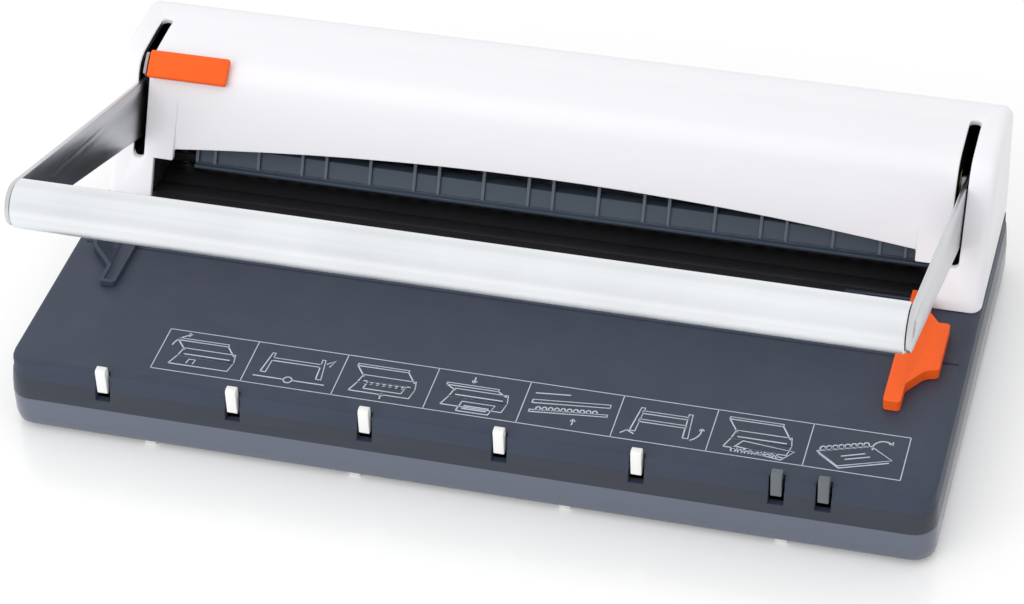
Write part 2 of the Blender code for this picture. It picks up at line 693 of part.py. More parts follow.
def build_bottom(machine):
    """Bottom plate with the tray's runners, its screws and the rubber feet."""
    outline = [Vector(point[:2]) for point in base_ring(0, 0, PLATE_INSET)]
    plate = piece("bottom_plate", plate_mesh("bottom_plate", "XY", SEAT, PLATE_TOP, outline),
                  SLATE, machine)
    runner_in = TRAY_HALF + TRAY_GAP
    runners = []
    for side in (-1, 1):
        ends = sorted((side * runner_in, side * (runner_in + RUNNER_WIDTH)))
        runners.append(((ends[0], TRAY_FRONT, SEAT + PLATE_THICK / 2),
                        (ends[1], OPENING_BACK, PLATE_TOP + RUNNER_HEIGHT)))
    combine(plate, helper("runners", box_mesh("runners", *runners), machine), "UNION")
    places = {"bottom_screw": plate_screw_places(), "frame_screw": frame_screw_places()}
    lengths = {"bottom_screw": PLATE_SCREW_LENGTH, "frame_screw": FRAME_SCREW_LENGTH}
    all_places = [place for group in places.values() for place in group]
    holes = screw_holes("plate_holes", all_places, -PLATE_THICK, 3 * PLATE_THICK)
    combine(plate, helper("plate_holes", holes, machine))
    for name, group in places.items():
        add_screws(name, screw_mesh(name, lengths[name]), [(x, y, 0) for x, y in group], machine)

    foot_x = BASE_HALF - FOOT_SIDE
    foot_mesh = turned_mesh("rubber_foot", [(0, FOOT_HEIGHT), (FOOT_RADIUS, FOOT_HEIGHT),
                                            (FOOT_RADIUS - FOOT_TAPER, 0), (0, 0)])
    for side, word in ((-1, "left"), (1, "right")):
        foot = piece(f"rubber_foot_{word}", foot_mesh, RUBBER, machine,
                     (side * foot_x, BASE_DEPTH - FOOT_END, -FOOT_HEIGHT))
        screw(foot)
    pad_back = PAD_FRONT + PAD_DEPTH
    corners = [(-PAD_WIDTH / 2, PAD_FRONT), (PAD_WIDTH / 2, PAD_FRONT),
               (PAD_WIDTH / 2, pad_back), (-PAD_WIDTH / 2, pad_back)]
    pad_mesh = plate_mesh("front_pad", "XY", -FOOT_HEIGHT, -SEAT,
                          rounded(corners, [PAD_ROUND] * len(corners), ARC_STEPS // 2))
    for number in range(PADS):
        x = (number - (PADS - 1) / 2) * PAD_SPACING
        pad = piece(f"front_pad_{number + 1}", pad_mesh, PALE_RUBBER, machine, (x, 0, 0))
        bevel(pad, PAD_EDGE, 1)


def build_pegs(machine):
    """Pegs that hold the wire's loops, each with a tail under the table."""
    back = PEG_FRONT + PEG_DEPTH
    top = BASE_HEIGHT + PEG_RISE
    foot = top - PEG_HEIGHT
    tail_top = BASE_HEIGHT - BASE_WALL - SEAT
    corners = [(PEG_FRONT, foot), (back + PEG_TAIL, foot),
               (back + PEG_TAIL, tail_top), (back, tail_top), (back, top), (PEG_FRONT, top)]
    outline = rounded(corners, [PEG_ROUND / 2, PEG_ROUND / 2, 0, 0, PEG_ROUND / 2, PEG_ROUND],
                      ARC_STEPS // 2)
    mesh = plate_mesh("wire_peg", "YZ", -PEG_WIDTH / 2, PEG_WIDTH / 2, outline)
    dark = mesh.copy()
    places = peg_places()
    for number, x in enumerate(places, 1):
        white = number <= len(places) - GREY_PEGS
        piece(f"wire_peg_{number}", mesh if white else dark, IVORY if white else PEWTER,
              machine, (x, 0, 0))


def cover_corners():
    """Corners of the cover's side outline and the radius of each, from its foot round."""
    foot = COVER_SEAM - COVER_SKIRT
    lean = math.tan(COVER_SLOPE)
    top_front = COVER_FRONT + (COVER_TOP - BASE_HEIGHT) * lean
    crown_y = top_front + (COVER_BACK - top_front) * CROWN_SHARE
    corners = [(COVER_FRONT - COVER_SKIRT * lean, foot), (COVER_BACK, foot),
               (COVER_BACK, COVER_TOP), (crown_y, COVER_TOP + CROWN_RISE),
               (top_front, COVER_TOP)]
    return corners, [0, 0, BACK_ROUND, CROWN_ROUND, FRONT_ROUND]


def cover_face_y(height, depth=0.0):
    """Place of the cover's front plane at a height, or of a plane that far inside it."""
    lean = (height - BASE_HEIGHT) * math.tan(COVER_SLOPE)
    return COVER_FRONT + lean + depth / math.cos(COVER_SLOPE)


def cover_ring(x, shrink):
    """Cover's side outline at one place along it, drawn in for the rounded ends."""
    corners, radii = cover_corners()
    moved = inset(corners, [0] + [shrink] * (len(corners) - 1))
    radii = [max(radius - shrink, 0) for radius in radii]
    return [(x, point.x, point.y) for point in rounded(moved, radii)]


def arm_outline_turns():
    """Bar's and hub's middles from the shaft's axis, and the turns of the arm's two edges.

    Each turn is the direction square to that edge, outwards, with the handle at rest.
    """
    bar = Vector((-ARM_REACH * math.cos(ARM_REST), ARM_REACH * math.sin(ARM_REST)))
    hub = Vector((0, -HUB_DROP))
    rise = math.atan2(bar.y - hub.y, bar.x - hub.x)
    spread = math.acos((ARM_HUB - ARM_TIP) / (bar - hub).length)
    return bar, hub, rise - spread, rise + spread


def arm_edge_rise():
    """Height from the shaft's axis of the arm's lower edge inside the cover, at full press."""
    _, hub, _, lower = arm_outline_turns()
    reach = ARM_HUB + hub.y * math.sin(lower)
    inner_y = cover_face_y(PIVOT_Z - ARM_HUB, COVER_WALL) - PIVOT_Y
    turn = lower + HANDLE_DOWN
    return (reach - inner_y * math.cos(turn)) / math.sin(turn)


def arm_edge_back():
    """Distance behind the shaft's axis of the raised arm's edge at the cover's top."""
    _, hub, upper, _ = arm_outline_turns()
    reach = ARM_HUB + hub.y * math.sin(upper)
    over = COVER_TOP + CROWN_RISE - PIVOT_Z
    turn = upper - HANDLE_UP
    return (reach - over * math.sin(turn)) / math.cos(turn)


def build_cover(machine):
    """Cover shell with its throat, stepped centre panel, arm slots and screw bosses."""
    rings = []
    for step in range(ARC_STEPS + 1):
        turn = QUARTER_TURN * step / ARC_STEPS
        x = COVER_HALF - END_ROUND * (1 - math.cos(turn))
        rings.append((x, END_ROUND * (1 - math.sin(turn))))
    stations = [(-x, shrink) for x, shrink in rings] + list(reversed(rings))
    skin = loft_mesh("cover_shell", [cover_ring(x, shrink) for x, shrink in stations],
                     True, True, open_edge=True)
    shell = piece("cover_shell", skin, WHITE, machine, smooth=SMOOTH_ANGLE)
    solidify(shell, COVER_WALL)

    skirt = box_mesh("skirt_cut", ((-BASE_HALF - OVERRUN, -OVERRUN, -OVERRUN),
                                   (BASE_HALF + OVERRUN, BASE_DEPTH + OVERRUN, COVER_SEAM)))
    combine(shell, helper("skirt_cut", skirt, machine))

    boss_height = COVER_SCREW_LENGTH + SCREW_HOLE_PAST
    bosses = rod_mesh("cover_bosses", BOSS_RADIUS,
                      [((x, y, COVER_SEAM), boss_height) for x, y in cover_screw_places()])
    combine(shell, helper("cover_bosses", bosses, machine), "UNION")
    cover_holes = screw_holes("cover_holes", cover_screw_places(), BASE_HEIGHT,
                              COVER_SCREW_LENGTH)
    combine(shell, helper("cover_holes", cover_holes, machine))
    head_seat = BASE_HEIGHT - BASE_WALL - SEAT
    add_screws("cover_screw", screw_mesh("cover_screw", COVER_SCREW_LENGTH),
               [(x, y, head_seat) for x, y in cover_screw_places()], machine)

    arch = []
    for step in range(ARCH_STEPS + 1):
        share = 2 * step / ARCH_STEPS - 1
        rise = THROAT_ARCH_RISE - (THROAT_ARCH_RISE - THROAT_END_RISE) * share ** 2
        arch.append((-THROAT_STEP_X * share, BASE_HEIGHT + rise))
    cheek = BASE_HEIGHT + THROAT_CHEEK_RISE
    outline = [(-THROAT_HALF, -OVERRUN), (THROAT_HALF, -OVERRUN), (THROAT_HALF, cheek),
               (THROAT_STEP_X, cheek), *arch, (-THROAT_STEP_X, cheek), (-THROAT_HALF, cheek)]
    throat = plate_mesh("throat_cut", "XZ", COVER_FRONT - OVERRUN, ANVIL_BACK, outline)
    combine(shell, helper("throat_cut", throat, machine))

    fade = BASE_HEIGHT + PANEL_FADE_RISE
    wedge = [(cover_face_y(fade) - OVERRUN, BASE_HEIGHT), (COVER_FRONT + PANEL_STEP, BASE_HEIGHT),
             (cover_face_y(fade), fade), (cover_face_y(fade) - OVERRUN, fade)]
    panel = plate_mesh("panel_cut", "YZ", -THROAT_STEP_X, THROAT_STEP_X, wedge)
    combine(shell, helper("panel_cut", panel, machine))

    slot_low = BLADE_INNER - SLOT_GAP
    slot_high = ARM_OUTER + SLOT_GAP
    slot_round = (slot_high - slot_low) / 2
    slot_foot = PIVOT_Z + arm_edge_rise() - SLOT_END_GAP
    slot_back = PIVOT_Y + arm_edge_back() + SLOT_END_GAP
    fronts = []
    tops = []
    for side in (-1, 1):
        low, high = sorted((side * slot_low, side * slot_high))
        ends = [slot_round - SEAT] * 2 + [0, 0]
        fronts.append(rounded([(low, slot_foot), (high, slot_foot),
                               (high, COVER_TOP + OVERRUN), (low, COVER_TOP + OVERRUN)], ends))
        tops.append(rounded([(high, slot_back), (low, slot_back),
                             (low, PIVOT_Y), (high, PIVOT_Y)], ends))
    front_cut = plate_mesh("slot_front_cut", "XZ", COVER_FRONT - OVERRUN, PIVOT_Y, *fronts)
    combine(shell, helper("slot_front_cut", front_cut, machine))
    top_cut = plate_mesh("slot_top_cut", "XY", PIVOT_Z, COVER_TOP + OVERRUN, *tops)
    combine(shell, helper("slot_top_cut", top_cut, machine))


def build_frames(machine):
    """Bent steel side frames with their feet, spring seats and shaft bushes."""
    depth = COVER_WALL + FRAME_CLEARANCE
    roof = COVER_TOP - depth
    shoulder = BASE_HEIGHT + (FRAME_FRONT - cover_face_y(BASE_HEIGHT, depth)) / math.tan(COVER_SLOPE)
    corners = [(FRAME_FRONT, FRAME_FOOT), (FRAME_BACK, FRAME_FOOT), (FRAME_BACK, roof),
               (cover_face_y(roof, depth), roof), (FRAME_FRONT, shoulder)]
    outline = rounded(corners, [0, 0, FRAME_ROUND, FRAME_ROUND, 0])
    bore = circle((PIVOT_Y, PIVOT_Z), SHAFT_RADIUS + SEAT + BUSH_WALL + SEAT)
    tab_top = BED_FOOT
    sleeve = BUSH_FLANGE_THICK + SEAT + FRAME_THICK + SEAT
    bush_bore = SHAFT_RADIUS + SEAT
    bush_outer = bush_bore + BUSH_WALL
    flange = bush_outer + BUSH_FLANGE_OVER
    bush_mesh = turned_mesh("shaft_bush", [(bush_outer, sleeve), (bush_outer, BUSH_FLANGE_THICK),
                                           (flange, BUSH_FLANGE_THICK), (flange, 0),
                                           (bush_bore, 0), (bush_bore, sleeve)], closed=True)
    for side, word in ((-1, "left"), (1, "right")):
        low, high = sorted((side * FRAME_INNER, side * FRAME_OUTER))
        frame = piece(f"side_frame_{word}",
                      plate_mesh("side_frame", "YZ", low, high, outline, bore), BLACKENED,
                      machine)
        web = (low + high) / 2
        foot_x = sorted((web, side * (FRAME_OUTER - FRAME_FLANGE)))
        seat_x = sorted((web, side * (LUG_INNER - SEAT)))
        tabs = box_mesh("frame_tabs",
                        ((foot_x[0], FRAME_FRONT + FRAME_ROUND, FRAME_FOOT),
                         (foot_x[1], FRAME_BACK - FRAME_ROUND, FRAME_FOOT + FRAME_THICK)),
                        ((seat_x[0], STOP_BACK + SEAT, tab_top - SEAT_TAB_THICK),
                         (seat_x[1], LUG_BACK, tab_top)))
        combine(frame, helper(f"frame_tabs_{word}", tabs, machine), "UNION")
        holes = screw_holes("frame_holes", frame_screw_places(), 0, FRAME_SCREW_LENGTH)
        combine(frame, helper(f"frame_holes_{word}", holes, machine))
        start = side * (FRAME_INNER - SEAT - BUSH_FLANGE_THICK)
        bush = piece(f"shaft_bush_{word}", bush_mesh, BRASS, machine,
                     (start, PIVOT_Y, PIVOT_Z), (0, side * QUARTER_TURN, 0))
        screw(bush, ROUND_STEPS)


def pin_holes(name, low, high):
    """Cutter of the square holes for the punch pins."""
    reach = PIN_SIDE / 2 + PIN_CLEARANCE
    return box_mesh(name, *[((x - reach, HOLE_Y - reach, low), (x + reach, HOLE_Y + reach, high))
                            for x in hole_places()])


def post_holes(name, low, high):
    """Cutter of the bores for the two guide posts."""
    rods = [((side * POST_X, POST_Y, low), high - low) for side in (-1, 1)]
    return rod_mesh(name, POST_RADIUS + SEAT, rods)


def build_bed(machine):
    """Closing anvil, die, paper stop, punch guide and guide posts between the frames."""
    middle = (ANVIL_FRONT + ANVIL_BACK) / 2
    groove = GROOVE_WIDTH / 2
    section = [(ANVIL_FRONT, BED_FOOT), (ANVIL_BACK, BED_FOOT), (ANVIL_BACK, BASE_HEIGHT),
               (middle + groove, BASE_HEIGHT), (middle, BASE_HEIGHT - GROOVE_DEEP),
               (middle - groove, BASE_HEIGHT), (ANVIL_FRONT, BASE_HEIGHT)]
    piece("closing_anvil", plate_mesh("closing_anvil", "YZ", -BED_HALF, BED_HALF, section),
          BLACKENED, machine)

    low = BED_FOOT - OVERRUN
    high = GUIDE_HEAD_Z + OVERRUN
    holes = helper("pin_holes", pin_holes("pin_holes", low, high), machine)
    posts = helper("post_holes", post_holes("post_holes", low, high), machine)
    blocks = {"die_block": ((-BED_HALF, DIE_FRONT, BED_FOOT), (BED_HALF, DIE_BACK, BASE_HEIGHT)),
              "punch_guide": ((-BED_HALF, DIE_FRONT, GUIDE_FOOT_Z),
                              (BED_HALF, DIE_BACK, GUIDE_HEAD_Z))}
    for name, corners in blocks.items():
        block = piece(name, box_mesh(name, corners), BLACKENED, machine)
        combine(block, holes)
        combine(block, posts)
    stop = ((-BED_HALF, STOP_FRONT, BED_FOOT), (BED_HALF, STOP_BACK, GUIDE_HEAD_Z))
    piece("paper_stop", box_mesh("paper_stop", stop), BLACKENED, machine)
    length = PIVOT_Z - POST_HEAD - BED_FOOT
    for side, word in ((-1, "left"), (1, "right")):
        post = piece(f"guide_post_{word}",
                     rod_mesh("guide_post", POST_RADIUS, [((side * POST_X, POST_Y, BED_FOOT), length)]),
                     STEEL, machine, smooth=SMOOTH_ANGLE)
        bevel(post, POST_RADIUS / 5, 1)


def build_ram(ram):
    """Ram that carries the punch pins and the press bar, placed from its own empty."""
    follower = CAM_THICK / 2 + FOLLOWER_SIDE
    tabs = [(CAM_X - follower, RAM_BACK), (CAM_X - follower, RAM_BACK + FOLLOWER_REACH),
            (CAM_X + follower, RAM_BACK + FOLLOWER_REACH), (CAM_X + follower, RAM_BACK),
            (LUG_INNER, RAM_BACK), (LUG_INNER, LUG_BACK), (LUG_OUTER, LUG_BACK),
            (LUG_OUTER, RAM_BACK), (RAM_HALF, RAM_BACK)]
    half = [(RAM_HALF, RAM_FRONT), *reversed(tabs)]
    outline = half + [(-x, y) for x, y in reversed(half)]
    bar = piece("ram_bar", plate_mesh("ram_bar", "XY", RAM_FOOT, RAM_TOP, outline), STEEL, ram)
    bores = post_holes("ram_bores", RAM_FOOT - OVERRUN, RAM_TOP + OVERRUN)
    combine(bar, helper("ram_bores", bores, ram))

    half_pin = PIN_SIDE / 2
    tip = BASE_HEIGHT - PIN_ENTRY
    teeth = []
    for number, x in enumerate(hole_places()):
        end = tip + PIN_STAGGER * (number % 2)
        teeth += [(x - half_pin, COMB_FOOT), (x - half_pin, end), (x + half_pin, end),
                  (x + half_pin, COMB_FOOT)]
    left = teeth[0][0] - half_pin
    comb = [(left, COMB_FOOT), *teeth, (-left, COMB_FOOT), (-left, COMB_FOOT + COMB_BACK),
            (left, COMB_FOOT + COMB_BACK)]
    piece("punch_comb", plate_mesh("punch_comb", "XZ", HOLE_Y - half_pin, HOLE_Y + half_pin, comb),
          STEEL, ram)

    back = RAM_FRONT - SEAT
    foot = BASE_HEIGHT + PRESS_LIFT
    face = ANVIL_FRONT + PRESS_LAG
    lean = math.tan(COVER_SLOPE)
    lip_y = face + PRESS_LIP * lean
    left_end = -(THROAT_HALF - PRESS_LEFT_IN)
    right_end = THROAT_HALF - PRESS_RIGHT_IN
    top = foot + PRESS_HEIGHT
    section = [(face - PRESS_LIP_OUT, foot), (back, foot), (back, top),
               (min(face + PRESS_HEIGHT * lean, back - SEAT), top), (lip_y, foot + PRESS_LIP),
               (face - PRESS_LIP_OUT, foot + PRESS_LIP)]
    press = piece("press_bar", plate_mesh("press_bar", "YZ", left_end, right_end, section),
                  BLUE_GREY, ram)
    tilt = Matrix.Translation((0, lip_y, foot + PRESS_LIP)) @ Matrix.Rotation(-COVER_SLOPE, 4, "X")
    length = (PRESS_HEIGHT - PRESS_LIP) / math.cos(COVER_SLOPE) + OVERRUN

    def cells(work):
        for start, end in cell_spans(left_end, right_end):
            add_box(work, (start, -OVERRUN, CELL_ABOVE_LIP), (end, CELL_DEEP, length))
        bmesh.ops.transform(work, matrix=tilt, verts=work.verts)
    combine(press, helper("press_cells", finished_mesh("press_cells", cells), ram))


def cell_spans(left_end, right_end):
    """Cells between the press bar's ribs: one narrow and two wide ones to each period."""
    middle = (left_end + right_end) / 2
    wide = (RIB_PERIOD - NARROW_CELL) / 2
    periods = math.ceil((right_end - left_end) / RIB_PERIOD / 2) + 1
    ribs = []
    for number in range(-periods, periods + 1):
        start = middle + number * RIB_PERIOD - NARROW_CELL / 2
        ribs += [start, start + NARROW_CELL, start + NARROW_CELL + wide]
    low = left_end + RIB_WIDTH / 2
    high = right_end - RIB_WIDTH / 2
    marks = [low, *[rib for rib in ribs if low + 2 * RIB_WIDTH < rib < high - 2 * RIB_WIDTH], high]
    return [(first + RIB_WIDTH / 2, second - RIB_WIDTH / 2)
            for first, second in zip(marks, marks[1:])]


def build_springs(machine):
    """Two coil springs that lift the ram, each one unbroken wire."""
    foot = BED_FOOT + SEAT + SPRING_WIRE
    head = RAM_FOOT - SEAT - SPRING_WIRE
    count = SPRING_TURNS * SPRING_TURN_POINTS
    coil = []
    for number in range(count + 1):
        turn = FULL_TURN * number / SPRING_TURN_POINTS
        coil.append(Vector((SPRING_RADIUS * math.cos(turn), SPRING_RADIUS * math.sin(turn),
                            foot + (head - foot) * number / count)))
    half_turn = SPRING_TURN_POINTS // 2
    least = min((near - far).length for number, near in enumerate(coil)
                for far in coil[number + half_turn:]) - 2 * SPRING_WIRE
    print(f"Spring: least gap between turns {least / MM:.2f} mm")
    for side, word in ((-1, "left"), (1, "right")):
        curve = bpy.data.curves.new("ram_spring", "CURVE")
        curve.dimensions = "3D"
        curve.bevel_depth = SPRING_WIRE
        curve.bevel_resolution = 1
        curve.use_fill_caps = True
        spline = curve.splines.new("POLY")
        spline.points.add(count)
        for point, place in zip(spline.points, coil):
            point.co = (*place, 1)
        piece(f"ram_spring_{word}", curve, STEEL, machine, (side * SPRING_X, SPRING_Y, 0))


def build_handle(handle):
    """Handle bar, arms, shaft, nuts and cams, placed from the shaft's axis."""
    bar_place, hub, upper, lower = arm_outline_turns()
    bar_half = ARM_INNER - SEAT
    bar_mesh = rod_mesh("handle_bar", BAR_RADIUS, [((-bar_half, *bar_place), 2 * bar_half)], "X",
                        ROUND_STEPS)
    bar = piece("handle_bar", bar_mesh, ALUMINIUM, handle, smooth=SMOOTH_ANGLE)
    hole_start = ARM_OUTER - HANDLE_SCREW_LENGTH - SCREW_HOLE_PAST
    hole_length = HANDLE_SCREW_LENGTH + SCREW_HOLE_PAST
    shanks = rod_mesh("handle_screw_holes", SCREW_RADIUS + SEAT,
                      [((hole_start, *bar_place), hole_length),
                       ((-ARM_OUTER, *bar_place), hole_length)], "X", SCREW_STEPS)
    shanks = helper("handle_screw_holes", shanks, handle)
    combine(bar, shanks)
    sunk = screw_mesh("handle_screw", HANDLE_SCREW_LENGTH, True)

    outline = arc(bar_place, ARM_TIP, upper, lower, 2 * ARC_STEPS)
    outline += arc(hub, ARM_HUB, lower, upper + FULL_TURN, 2 * ARC_STEPS)
    bore = circle((0, 0), SHAFT_RADIUS + SEAT)
    nut_start = ARM_OUTER + SEAT
    for side, word in ((-1, "left"), (1, "right")):
        low, high = sorted((side * ARM_INNER, side * ARM_OUTER))
        arm = piece(f"handle_arm_{word}", plate_mesh("handle_arm", "YZ", low, high, outline, bore),
                    POLISHED, handle, smooth=SMOOTH_ANGLE)
        combine(arm, shanks)
        radii = [SCREW_RADIUS + SEAT, SCREW_HEAD_RADIUS + SEAT][::side]
        start = min(side * ARM_OUTER, side * (ARM_OUTER - SINK_HEAD_HEIGHT))
        sink = rod_mesh("countersink", radii[0], [((start, *bar_place), SINK_HEAD_HEIGHT)], "X",
                        SCREW_STEPS, radii[1])
        combine(arm, helper(f"countersink_{word}", sink, handle))
        screw(piece(f"handle_screw_{word}", sunk, STEEL, handle,
                    (side * ARM_OUTER, *bar_place), (0, -side * QUARTER_TURN, 0)), SCREW_STEPS)
        low, high = sorted((side * nut_start, side * (nut_start + NUT_THICK)))
        nut = plate_mesh("shaft_nut", "YZ", low, high, circle((0, 0), NUT_RADIUS, 6), bore)
        piece(f"shaft_nut_{word}", nut, STEEL, handle)

    shaft_half = nut_start + NUT_THICK + SHAFT_PAST
    shaft = piece("handle_shaft", rod_mesh("handle_shaft", SHAFT_RADIUS,
                                           [((-shaft_half, 0, 0), 2 * shaft_half)], "X"),
                  STEEL, handle, smooth=SMOOTH_ANGLE)
    bevel(shaft, SHAFT_RADIUS / 8, 1)

    # The cam touches its follower at its lowest point, over this span of its own arc
    lobe = Vector((-ECCENTRIC * math.cos(ECCENTRIC_LAG), -ECCENTRIC * math.sin(ECCENTRIC_LAG)))
    start = 3 * QUARTER_TURN - HANDLE_DOWN - CAM_MARGIN
    end = 3 * QUARTER_TURN + HANDLE_UP + CAM_MARGIN
    cam_outline = arc(lobe, CAM_RADIUS, start, end, 3 * ARC_STEPS)
    cam_outline += arc((0, 0), CAM_HUB, end + CAM_FLANK, start - CAM_FLANK + FULL_TURN,
                       2 * ARC_STEPS)
    for side, word in ((-1, "left"), (1, "right")):
        middle = side * CAM_X
        cam = plate_mesh("eccentric_cam", "YZ", middle - CAM_THICK / 2, middle + CAM_THICK / 2,
                         cam_outline, bore)
        piece(f"eccentric_cam_{word}", cam, STEEL, handle)


def tab_radius():
    """Inner radius at which the selector's tab clears the cover over its whole swing."""
    corners, radii = cover_corners()
    furthest = 0.0
    for point in rounded(corners, radii, 8 * ARC_STEPS):
        forward, up = PIVOT_Y - point.x, point.y - PIVOT_Z
        angle = math.atan2(up, forward)
        if TAB_START - TAB_LEAD <= angle <= TAB_END + TAB_SWING:
            furthest = max(furthest, math.hypot(forward, up))
    return furthest + TAB_CLEARANCE


def build_selector(selector):
    """Wire size selector: a steel blade on the shaft and the finger tab that it carries."""
    inner = tab_radius()
    outer = inner + TAB_THICK
    start, end = HALF_TURN - TAB_END, HALF_TURN - TAB_START
    neck = (end - start) / 8
    blade = arc((0, 0), outer - SEAT, start + neck, end - neck)
    blade += arc((0, 0), BLADE_HUB, end + BLADE_FLANK, start - BLADE_FLANK + FULL_TURN,
                 2 * ARC_STEPS)
    bore = circle((0, 0), SHAFT_RADIUS + SEAT)
    piece("selector_lever", plate_mesh("selector_lever", "YZ", -BLADE_OUTER, -BLADE_INNER,
                                       blade, bore), STEEL, selector)
    sector = arc((0, 0), outer, start, end) + arc((0, 0), inner, end, start)
    high = -BLADE_INNER + SEAT
    tab = piece("selector_tab", plate_mesh("selector_tab", "YZ", high, high + TAB_LENGTH, sector),
                ORANGE, selector, smooth=SMOOTH_ANGLE)
    bevel(tab, TAB_EDGE)


def guide_outline(length, shoulder, rounds):
    """Plan of an edge guide, from its inner edge outwards and from its front end back."""
    back = COVER_FRONT - GUIDE_TIP_GAP
    front = back - length

    def along(share):
        return front + length * share
    corners = [(0, front), (GUIDE_FINGER, front), (GUIDE_FINGER, along(FINGER_SHARE)),
               *[(out, along(share)) for out, share in shoulder],
               (GUIDE_BODY, along(BODY_SHARE)), (GUIDE_HEEL, along(HEEL_SHARE)),
               (GUIDE_TIP, along(TIP_SHARE)), (GUIDE_TIP, back), (0, back)]
    radii = [GUIDE_SOFT / 2, GUIDE_SOFT / 2, GUIDE_SOFT, *rounds, GUIDE_SOFT / 2,
             0, 0, GUIDE_SOFT / 3, 0]
    return corners, radii


def build_left_guide(machine):
    """Fixed edge guide, a thin plate with a raised rim."""
    corners, radii = guide_outline(FIXED_LENGTH, [(GUIDE_BODY, FIXED_SHOULDER_SHARE)],
                                   [2 * GUIDE_SOFT])
    foot = BASE_HEIGHT + SEAT
    inner = FIXED_MARGIN - THROAT_HALF
    outline = [(inner - point.x, point.y) for point in rounded(corners, radii)]
    guide = piece("edge_guide_left", plate_mesh("edge_guide_left", "XY", foot, foot + FIXED_TOP,
                                                outline), SLATE, machine)
    bevel(guide, RIM / 4, 1)
    sunk = inset(corners, [RIM] * len(corners))
    sunk_line = [(inner - point.x, point.y)
                 for point in rounded(sunk, [max(radius - RIM / 2, 0) for radius in radii])]
    floor = foot + FIXED_TOP - RIM_DEEP
    pocket = plate_mesh("guide_pocket", "XY", floor, floor + OVERRUN, sunk_line)
    combine(guide, helper("guide_pocket", pocket, machine))


def build_right_guide(guide):
    """Sliding edge guide with a tongue into the throat and a foot under the table."""
    corners, radii = guide_outline(GUIDE_LENGTH, [(GUIDE_KNEE, KNEE_SHARE), (GUIDE_BODY, SHOULDER_SHARE)],
                                   [2 * GUIDE_SOFT, GUIDE_SOFT / 2])
    foot = BASE_HEIGHT + SEAT
    tongue = COVER_FRONT + SLIDER_SLOT_FRONT + SLIDER_SLOT_WIDTH
    corners = corners[:-2] + [(GUIDE_TIP, corners[-2][1]), (GUIDE_TONGUE, corners[-2][1]),
                              (GUIDE_TONGUE, tongue), (0, tongue)]
    radii = radii[:-2] + [GUIDE_SOFT / 3, 0, GUIDE_SOFT / 3, 0]
    outline = [(GUIDE_INNER + point.x, point.y) for point in rounded(corners, radii)]
    body = piece("edge_guide_right", plate_mesh("edge_guide_right", "XY", foot, foot + GUIDE_TOP,
                                                outline), ORANGE, guide)
    neck_y = COVER_FRONT + SLIDER_SLOT_FRONT + SLIDER_SLOT_WIDTH / 2
    skin = BASE_HEIGHT - BASE_WALL - SEAT
    neck = SLIDER_NECK / 2
    head = SLIDER_HEAD / 2
    stem = box_mesh("slider_stem", ((SLIDER_X - neck, neck_y - neck, skin - SLIDER_HEAD_THICK / 2),
                                    (SLIDER_X + neck, neck_y + neck, foot + GUIDE_TOP / 2)))
    combine(body, helper("slider_stem", stem, guide), "UNION")
    foot_box = box_mesh("slider_head", ((SLIDER_X - head, neck_y - head, skin - SLIDER_HEAD_THICK),
                                        (SLIDER_X + head, neck_y + head, skin)))
    combine(body, helper("slider_head", foot_box, guide), "UNION")
    bevel(body, RIM / 4, 1)


def build_tray(tray):
    """Chip tray with a finger scoop in its back panel."""
    panel_front = BASE_DEPTH - TRAY_PANEL
    side = [(TRAY_FRONT, TRAY_FOOT), (BASE_DEPTH, TRAY_FOOT), (BASE_DEPTH, TRAY_PANEL_TOP),
            (panel_front, TRAY_PANEL_TOP), (panel_front, TRAY_TOP), (TRAY_FRONT, TRAY_TOP)]
    body = piece("chip_tray", plate_mesh("chip_tray", "YZ", -TRAY_HALF, TRAY_HALF, side),
                 SLATE, tray)
    hollow = box_mesh("tray_hollow",
                      ((-TRAY_HALF + TRAY_WALL, TRAY_FRONT + TRAY_WALL, TRAY_FOOT + TRAY_WALL),
                       (TRAY_HALF - TRAY_WALL, panel_front, TRAY_TOP + OVERRUN)))
    combine(body, helper("tray_hollow", hollow, tray))
    scoop = rod_mesh("tray_scoop", SCOOP_RADIUS,
                     [((0, BASE_DEPTH - OVERRUN, TRAY_PANEL_TOP + SCOOP_RADIUS - SCOOP_DEEP),
                       2 * OVERRUN)], "Y", ROUND_STEPS)
    combine(body, helper("tray_scoop", scoop, tray))


for existing in list(bpy.data.objects):
    bpy.data.objects.remove(existing, do_unlink=True)

PARTS = collection("wire_binding_machine")
CUTTERS = collection("cutters")

SLATE = finish("slate_plastic", (0.062, 0.076, 0.112), 0.45)
WHITE = finish("white_plastic", (0.86, 0.86, 0.90), 0.35)
ORANGE = finish("orange_plastic", (0.95, 0.13, 0.012), 0.4)
IVORY = finish("white_peg", (0.88, 0.88, 0.86), 0.4)
PEWTER = finish("grey_peg", (0.12, 0.14, 0.15), 0.4)
BLUE_GREY = finish("blue_grey_metal", (0.07, 0.10, 0.14), 0.45, 0.2)
ALUMINIUM = finish("satin_aluminium", (0.80, 0.81, 0.84), 0.3, 1.0)
POLISHED = finish("polished_steel", (0.62, 0.62, 0.64), 0.15, 1.0)
STEEL = finish("plain_steel", (0.42, 0.43, 0.45), 0.4, 1.0)
BLACKENED = finish("blackened_steel", (0.016, 0.016, 0.018), 0.5)
BRASS = finish("bush_bronze", (0.62, 0.42, 0.18), 0.35, 1.0)
RUBBER = finish("foot_rubber", (0.02, 0.02, 0.02), 0.85)
PALE_RUBBER = finish("pale_rubber", (0.72, 0.72, 0.68), 0.5)

